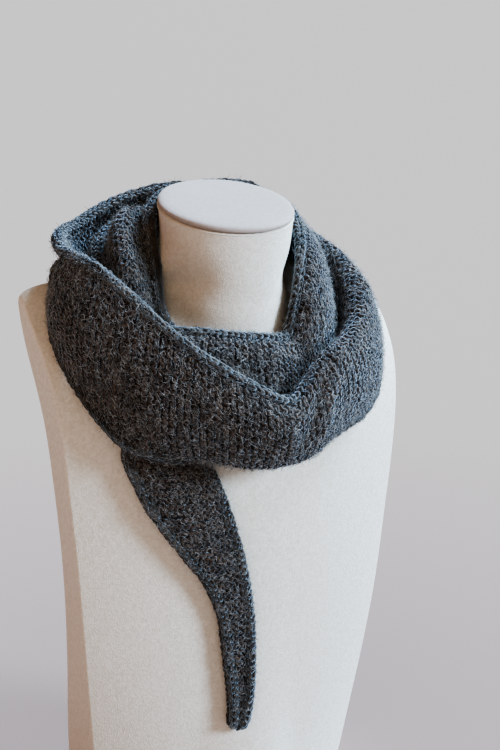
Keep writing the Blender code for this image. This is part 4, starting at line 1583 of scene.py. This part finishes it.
@dataclass
class EdgeCord:
    """The knitted cord along both edges of the band and round its ends."""

    band: ScarfBand
    sight: SightMap
    core_radius: float = 3.9
    core_step: float = 3.5
    core_end_gap: float = 2.0
    # Angles round the cord of its columns of stitches, 0 towards the cloth and
    # 90 outward. Those between the bounds show from both faces.
    column_angles: tuple[float, ...] = (42.0, 96.0, 150.0, 204.0, 258.0, 312.0)
    both_faces: tuple[float, float] = (100.0, 260.0)
    leg_points: int = 4
    leg_radius: float = 1.25
    # Length of a leg in ridge spacings
    leg_length: float = 1.25
    # Distances of a leg from its column, where it starts and how far it opens
    leg_start: float = 0.35
    leg_spread: float = 1.35
    spread_curve: float = 0.85
    # Radius round the cord at which the spread turns into an angle
    spread_radius: float = 3.6
    # Depth of a leg's ends in the core, and the height of its middle over them
    leg_sink: float = 0.15
    leg_arch: float = 0.75
    arch_curve: float = 0.8
    radius_curve: float = 0.6
    # Uneven knitting: start and reach in millimetres, the spread in parts
    uneven_start: float = 0.6
    uneven_spread: float = 0.08
    uneven_reach: float = 0.28
    start_gap: float = 1.0
    end_gap: float = 0.5
    least_sight: float = 0.02

    def axes(self, edge: Edge, run: np.ndarray) -> tuple[np.ndarray, np.ndarray, np.ndarray]:
        """Work out the cord's centre, its direction to the body and the outward one.

        Args:
            edge: The edge of the band.
            run: Distances along the band.

        Returns:
            Three arrays of points or directions.
        """
        band = self.band
        part = band.cord_at(run) / band.width_at(run)
        if edge is Edge.OUTER:
            part = 1.0 - part
        centre = band.sample(band.grid, run, part)
        sign = -1.0 if edge is Edge.OUTER else 1.0
        inward = unit(band.sample(band.across, run, part)) * sign
        return centre, inward, band.out(run, part)

    def make_core(self, edge: Edge, yarn: bpy.types.Material) -> bpy.types.Object:
        """Build the core of one cord, in the darker yarn that is painted shade.

        Args:
            edge: The edge of the band.
            yarn: Finish.

        Returns:
            The new piece.
        """
        count = int(self.band.length / self.core_step)
        run = np.linspace(self.core_end_gap, self.band.length - self.core_end_gap, count)
        centre, _inward, outward = self.axes(edge, run)
        radii = self.core_radius * self.band.cord_at(run) / self.band.cord_radius
        basket = TubeBasket(sides=8)
        basket.add(centre[None], outward[None], radii[None])
        return basket.make(f"scarf_cord_core_{edge.name.lower()}", yarn)

    def shown(self, edge: Edge, angle: float, run: np.ndarray) -> np.ndarray:
        """Tell which stitches of a column can be seen.

        Args:
            edge: The edge of the band.
            angle: Angle of the column round the cord.
            run: Distances of the stitches along the band.

        Returns:
            True for each stitch that can be seen.
        """
        face, other = (Face.OUTER, Face.INNER) if angle < 180.0 else (Face.INNER, Face.OUTER)
        near = self.sight.edge if edge is Edge.INNER else 1.0 - self.sight.edge
        part = np.full(len(run), near)
        least, most = self.both_faces
        from_face = self.sight.share(face, run, part) >= self.least_sight
        from_other = self.sight.share(other, run, part) >= self.least_sight
        return from_face | (from_other & (least < angle < most))

    def make_stitches(self, edge: Edge, yarn: bpy.types.Material) -> bpy.types.Object:
        """Build the chain of pointed stitches round one cord.

        Args:
            edge: The edge of the band.
            yarn: Finish.

        Returns:
            The new piece.
        """
        band = self.band
        draw = np.random.default_rng(CORD_SEED + edge.value)
        spacing = band.ridge_spacing
        count = band.ridges - 1
        along = np.linspace(0.0, 1.0, self.leg_points)
        opening = self.leg_start + self.leg_spread * along ** self.spread_curve
        arch = np.sin(math.pi * along)
        height = self.core_radius - self.leg_sink + self.leg_arch * arch ** self.arch_curve
        basket = TubeBasket(sides=3)
        for number, angle in enumerate(self.column_angles):
            for side in (-1.0, 1.0):
                start = self.start_gap + spacing * (np.arange(count) + 0.5 * (number % 2))
                start = start + draw.normal(0.0, self.uneven_start, count)
                run = start[:, None] + along[None] * spacing * self.leg_length
                run = np.minimum(run, band.length - self.end_gap)
                centre, inward, outward = self.axes(edge, run)
                scale = band.cord_at(run) / band.cord_radius
                wide = 1.0 + draw.normal(0.0, self.uneven_spread, (count, 1))
                spread = side * opening * wide
                reach = (height[None] + draw.normal(0.0, self.uneven_reach, (count, 1))) * scale
                turn = math.radians(angle) + spread / self.spread_radius
                away = inward * np.cos(turn)[..., None] + outward * np.sin(turn)[..., None]
                points = centre + away * reach[..., None]
                radii = self.leg_radius * scale * (0.5 + 0.5 * arch ** self.radius_curve)
                keep = self.shown(edge, angle, run[:, self.leg_points // 2])
                basket.add(points[keep], away[keep], radii[keep])
        name = f"scarf_cord_stitches_{edge.name.lower()}"
        LOG.info("%s: %d triangles", name, basket.triangles())
        return basket.make(name, yarn)


@dataclass(frozen=True)
class HairBatch:
    """One sort of loose hair.

    It holds the number of hairs, their least and greatest length, their least
    and greatest rise off the cloth, how strongly they curl and their width.
    """

    name: str
    count: int
    length: tuple[float, float]
    lift: tuple[float, float]
    curl: float
    width: float
    segments: int
    seed: int


@dataclass
class FibreHalo:
    """Fine alpaca hairs that curl off the yarn all over the scarf."""

    band: ScarfBand
    sight: SightMap
    root_height: float = 2.8
    # Height of the cord's stitches over its middle, as a share of its radius
    cord_reach: float = 1.3
    end_gap: float = 3.0
    # Part of the hairs that is on the outer face
    outer_share: float = 0.62
    least_sight: float = 0.04
    # Range of how fast a hair droops
    droop: tuple[float, float] = (0.05, 0.3)
    # Uneven turns of a hair's heading and the greatest roll of its ribbon
    waver: float = 0.35
    roll: float = 1.2
    tip_width: float = 0.45

    def roots(self, count: int, draw: np.random.Generator) -> tuple[np.ndarray, ...]:
        """Draw places where hairs start, only where the cloth can be seen.

        Args:
            count: Number of hairs wanted.
            draw: Source of random places.

        Returns:
            Points, outward directions, onward directions and across directions.
        """
        band = self.band
        run, part, face = [], [], []
        found = 0
        while found < count:
            trial_run = draw.uniform(self.end_gap, band.length - self.end_gap, count)
            trial_part = draw.uniform(0.0, 1.0, count)
            trial_face = np.where(draw.uniform(0.0, 1.0, count) < self.outer_share, 1, -1)
            wide = band.width_at(trial_run) / band.widths.max()
            seen = np.where(
                trial_face == 1,
                self.sight.share(Face.OUTER, trial_run, trial_part),
                self.sight.share(Face.INNER, trial_run, trial_part),
            )
            keep = (seen > self.least_sight) & (draw.uniform(0.0, 1.0, count) < wide)
            run.append(trial_run[keep])
            part.append(trial_part[keep])
            face.append(trial_face[keep])
            found += int(keep.sum())
        run = np.concatenate(run)[:count]
        part = np.concatenate(part)[:count]
        face = np.concatenate(face)[:count].astype(float)
        edge = np.minimum(part, 1.0 - part) * band.width_at(run) / band.cord_at(run)
        # Over the cords the hairs start on the round of the cord
        bulge = np.sqrt(np.clip(1.0 - (1.0 - edge) ** 2, 0.0, 1.0))
        bulge = bulge * band.cord_at(run) * self.cord_reach
        height = np.where(edge < 1.0, bulge, np.maximum(bulge, self.root_height))
        points = band.at(run, part, height * face)
        outward = band.out(run, part) * face[:, None]
        return (
            points, outward,
            unit(band.sample(band.onward, run, part)),
            unit(band.sample(band.across, run, part)),
        )

    def make(self, batch: HairBatch, finish: bpy.types.Material) -> bpy.types.Object:
        """Build one batch of hairs as thin ribbons.

        Args:
            batch: The sort of hair.
            finish: Finish.

        Returns:
            The new piece.
        """
        count, segments = batch.count, batch.segments
        draw = np.random.default_rng(batch.seed)
        place, outward, onward, across = self.roots(count, draw)
        heading = draw.uniform(0.0, math.tau, count)
        curl = draw.normal(0.0, batch.curl, count)
        rise = draw.uniform(*batch.lift, count)
        drop = draw.uniform(*self.droop, count)
        long = draw.uniform(*batch.length, count) / segments
        points = [place]
        headings = []
        for _ in range(segments):
            flat = onward * np.cos(heading)[:, None] + across * np.sin(heading)[:, None]
            course = unit(flat + outward * rise[:, None])
            headings.append(course)
            points.append(points[-1] + course * long[:, None])
            heading = heading + curl + draw.normal(0.0, self.waver, count)
            rise = rise - drop * (1.0 + rise)
        headings.append(headings[-1])
        path = np.stack(points, axis=1)
        course = np.stack(headings, axis=1)
        roll = draw.uniform(-self.roll, self.roll, count)[:, None, None]
        beside = unit(np.cross(course, outward[:, None]))
        beside = unit(beside + np.cross(course, beside) * roll)
        taper = np.linspace(1.0, self.tip_width, segments + 1)[None, :, None]
        half = beside * taper * batch.width / 2.0
        corners = np.stack((path - half, path + half), axis=2)
        grid = np.arange(count * (segments + 1) * 2).reshape(count, segments + 1, 2)
        quads = np.stack(
            (grid[:, :-1, 0], grid[:, :-1, 1], grid[:, 1:, 1], grid[:, 1:, 0]), axis=-1,
        ).reshape(-1, 4)
        LOG.info("%s: %d triangles", batch.name, len(quads) * 2)
        return add_piece(batch.name, corners.reshape(-1, 3), [quads], finish)


@dataclass
class AlpacaScarf:
    """The whole scarf: ground, ridges, edge cords and halo."""

    bust: DisplayBust
    # Number of pieces that the ridges of each face are built in
    ridge_parts: int = 3
    curls: HairBatch = HairBatch(
        "scarf_curls_near", 36000, (3.0, 6.0), (0.15, 0.9), 1.1, 0.38, 2, 401,
    )
    hairs: tuple[HairBatch, ...] = (
        HairBatch("scarf_halo_long", 9000, (5.0, 10.0), (0.2, 0.9), 0.6, 0.13, 3, 402),
        HairBatch("scarf_halo_stray", 400, (11.0, 20.0), (0.4, 1.2), 0.5, 0.12, 4, 403),
    )

    def make_ridges(
        self, band: ScarfBand, sight: SightMap, yarn: bpy.types.Material,
    ) -> list[bpy.types.Object]:
        """Build the ridges of both faces.

        Args:
            band: The band.
            sight: What can be seen of it.
            yarn: Finish.

        Returns:
            Their pieces.
        """
        pieces = []
        bounds = np.linspace(0, band.ridges, self.ridge_parts + 1).astype(int)
        for face in Face:
            ridges = PurlRidges(band, sight, face)
            for number, (first, last) in enumerate(zip(bounds, bounds[1:])):
                name = f"scarf_purl_ridges_{face.name.lower()}_{number + 1}"
                pieces.append(ridges.make(first, last, name, yarn))
        return pieces

    def make_halo(self, band: ScarfBand, sight: SightMap) -> list[bpy.types.Object]:
        """Build the curls and the loose hairs.

        Args:
            band: The band.
            sight: What can be seen of it.

        Returns:
            Their pieces.
        """
        fuzz = FibreHalo(band, sight)
        loose = AlpacaHalo().make()
        curled = AlpacaHalo(name="alpaca_curls_short", root="#615f5c", tip="#b0b1b0").make()
        pieces = [fuzz.make(self.curls, curled)]
        return pieces + [fuzz.make(batch, loose) for batch in self.hairs]

    def dress(
        self, band: ScarfBand, ground: bpy.types.Object,
    ) -> None:
        """Hide the frame's nodes of the scarf and log how the cloth is cut.

        Args:
            band: The band.
            ground: Not used.
        """
        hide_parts(*SCARF_NODES)
        area = float(np.sum(band.widths[:-1] * np.diff(band.runs))) * MM * MM
        cut = (float(band.widths.max()) * MM, band.length * MM)
        LOG.info("cut %.3f x %.3f m, area %.4f m2", cut[0], cut[1], area)

    def build(self, bust_pieces: list[bpy.types.Object]) -> list[bpy.types.Object]:
        """Build and dress the scarf.

        Args:
            bust_pieces: Pieces of the bust, which hide parts of the scarf.

        Returns:
            The pieces of the scarf.
        """
        band = ScarfBand(self.bust)
        yarn = AlpacaYarn().make()
        # A darker copy of the yarn, painted shade for the valleys between the ridges and the
        # cords' cores
        painted_shade_yarn = AlpacaYarn(
            name="alpaca_yarn_between_ridges", dark="#1f1b18", middle="#332d28",
            light="#4a423b", bloom_weight=0.6,
        ).make()
        cord_yarn = AlpacaYarn(
            name="alpaca_yarn_edge_cord", dark="#2a2622", middle="#453f39", light="#645c54",
            bloom_weight=0.8,
        ).make()
        ground = KnitGround(band).make(painted_shade_yarn)
        sight = SightMap(band)
        # The welt is too thin to hide anything
        sight.measure([ground, *bust_pieces[:2]])
        pieces = self.make_ridges(band, sight, yarn)
        cord = EdgeCord(band, sight)
        pieces += [cord.make_core(edge, painted_shade_yarn) for edge in Edge]
        pieces += [cord.make_stitches(edge, cord_yarn) for edge in Edge]
        pieces += self.make_halo(band, sight)
        self.dress(band, ground)
        return [ground, *pieces]


# The studio


def direction(azimuth: float, elevation: float) -> Vector:
    """Work out a direction from the object.

    Args:
        azimuth: 0 in front and 90 at the right, in degrees.
        elevation: Above level, in degrees.

    Returns:
        The direction, of length one.
    """
    turn, rise = math.radians(azimuth), math.radians(elevation)
    return Vector((
        math.sin(turn) * math.cos(rise), -math.cos(turn) * math.cos(rise), math.sin(rise),
    ))


@dataclass(frozen=True)
class FarLight:
    """A far soft light, told as for the function direction.

    Its softness is how wide it looks from the object, in degrees.
    """

    name: str
    azimuth: float
    elevation: float
    strength: float
    colour: str
    softness: float

    def make(self) -> None:
        """Add the light to the scene."""
        light = bpy.data.lights.new(self.name, "SUN")
        light.energy = self.strength
        light.color = linear(self.colour)[:3]
        light.angle = math.radians(self.softness)
        lamp = bpy.data.objects.new(self.name, light)
        bpy.context.collection.objects.link(lamp)
        source = direction(self.azimuth, self.elevation)
        lamp.rotation_euler = source.to_track_quat("Z", "Y").to_euler()


@dataclass
class Studio:
    """Camera, lights and floor."""

    azimuth: float = -28.0
    elevation: float = 15.8
    roll: float = 0.8
    distance: float = 1273.0
    target: tuple[float, float, float] = (23.0, 0.0, 362.0)
    focal: float = 76.8
    sensor: float = 36.0
    # Nearest and farthest distance that the camera sees, in metres
    clip: tuple[float, float] = (0.01, 200.0)
    # Half the width of the paper floor, in metres
    floor_reach: float = 40.0
    room_colour: str = "#f3e6d8"
    room_strength: float = 0.2
    exposure: float = 0.25
    lights: tuple[FarLight, ...] = (
        FarLight("window", 42.0, 22.0, 4.1, "#c6ddf4", 18.0),
        FarLight("far_window", 98.0, 50.0, 8.4, "#bcdaf6", 30.0),
        FarLight("front_fill", -30.0, 26.0, 0.5, "#ffe4c2", 60.0),
        FarLight("room", -84.0, 10.0, 0.52, "#ff9a55", 80.0),
    )

    def place_camera(self) -> None:
        """Set the camera at the photograph's viewing angle."""
        azimuth, roll = math.radians(self.azimuth), math.radians(self.roll)
        back = direction(self.azimuth, self.elevation)
        right = Vector((math.cos(azimuth), math.sin(azimuth), 0.0))
        up = back.cross(right)
        rolled_right = math.cos(roll) * right + math.sin(roll) * up
        rolled_up = -math.sin(roll) * right + math.cos(roll) * up
        data = bpy.data.cameras.new("camera")
        data.lens = self.focal
        data.sensor_width = self.sensor
        data.clip_start, data.clip_end = self.clip
        camera = bpy.data.objects.new("camera", data)
        bpy.context.collection.objects.link(camera)
        place = (Vector(self.target) + back * self.distance) * MM
        matrix = Matrix((rolled_right, rolled_up, back)).transposed().to_4x4()
        camera.matrix_world = Matrix.Translation(place) @ matrix
        bpy.context.scene.camera = camera

    def lay_floor(self) -> None:
        """Lay the paper floor."""
        reach = self.floor_reach
        corners = [
            (across * reach, depth * reach, 0.0)
            for across, depth in ((-1, -1), (1, -1), (1, 1), (-1, 1))
        ]
        mesh = bpy.data.meshes.new("floor")
        mesh.from_pydata(corners, [], [(0, 1, 2, 3)])
        mesh.materials.append(SeamlessPaper().make())
        floor = bpy.data.objects.new("floor", mesh)
        bpy.context.collection.objects.link(floor)

    def build(self) -> None:
        """Build the whole studio."""
        self.place_camera()
        for light in self.lights:
            light.make()
        world = bpy.data.worlds.new("room_light")
        world.use_nodes = True
        sky = world.node_tree.nodes["Background"]
        sky.inputs["Color"].default_value = linear(self.room_colour)
        sky.inputs["Strength"].default_value = self.room_strength
        bpy.context.scene.world = world
        self.lay_floor()
        settings = bpy.context.scene.view_settings
        settings.view_transform = "AgX"
        settings.look = "AgX - High Contrast"
        settings.exposure = self.exposure


def main() -> None:
    """Build the studio, the bust and the scarf, and report each piece."""
    logging.basicConfig(level=logging.INFO, format="%(name)s: %(message)s")
    Studio().build()
    bust = DisplayBust()
    bust_pieces = bust.build()
    scarf_pieces = AlpacaScarf(bust).build(bust_pieces)
    for piece in (*bust_pieces, *scarf_pieces):
        LOG.info("built %s with %d faces", piece.name, len(piece.data.polygons))


if __name__ == "__main__":
    main()
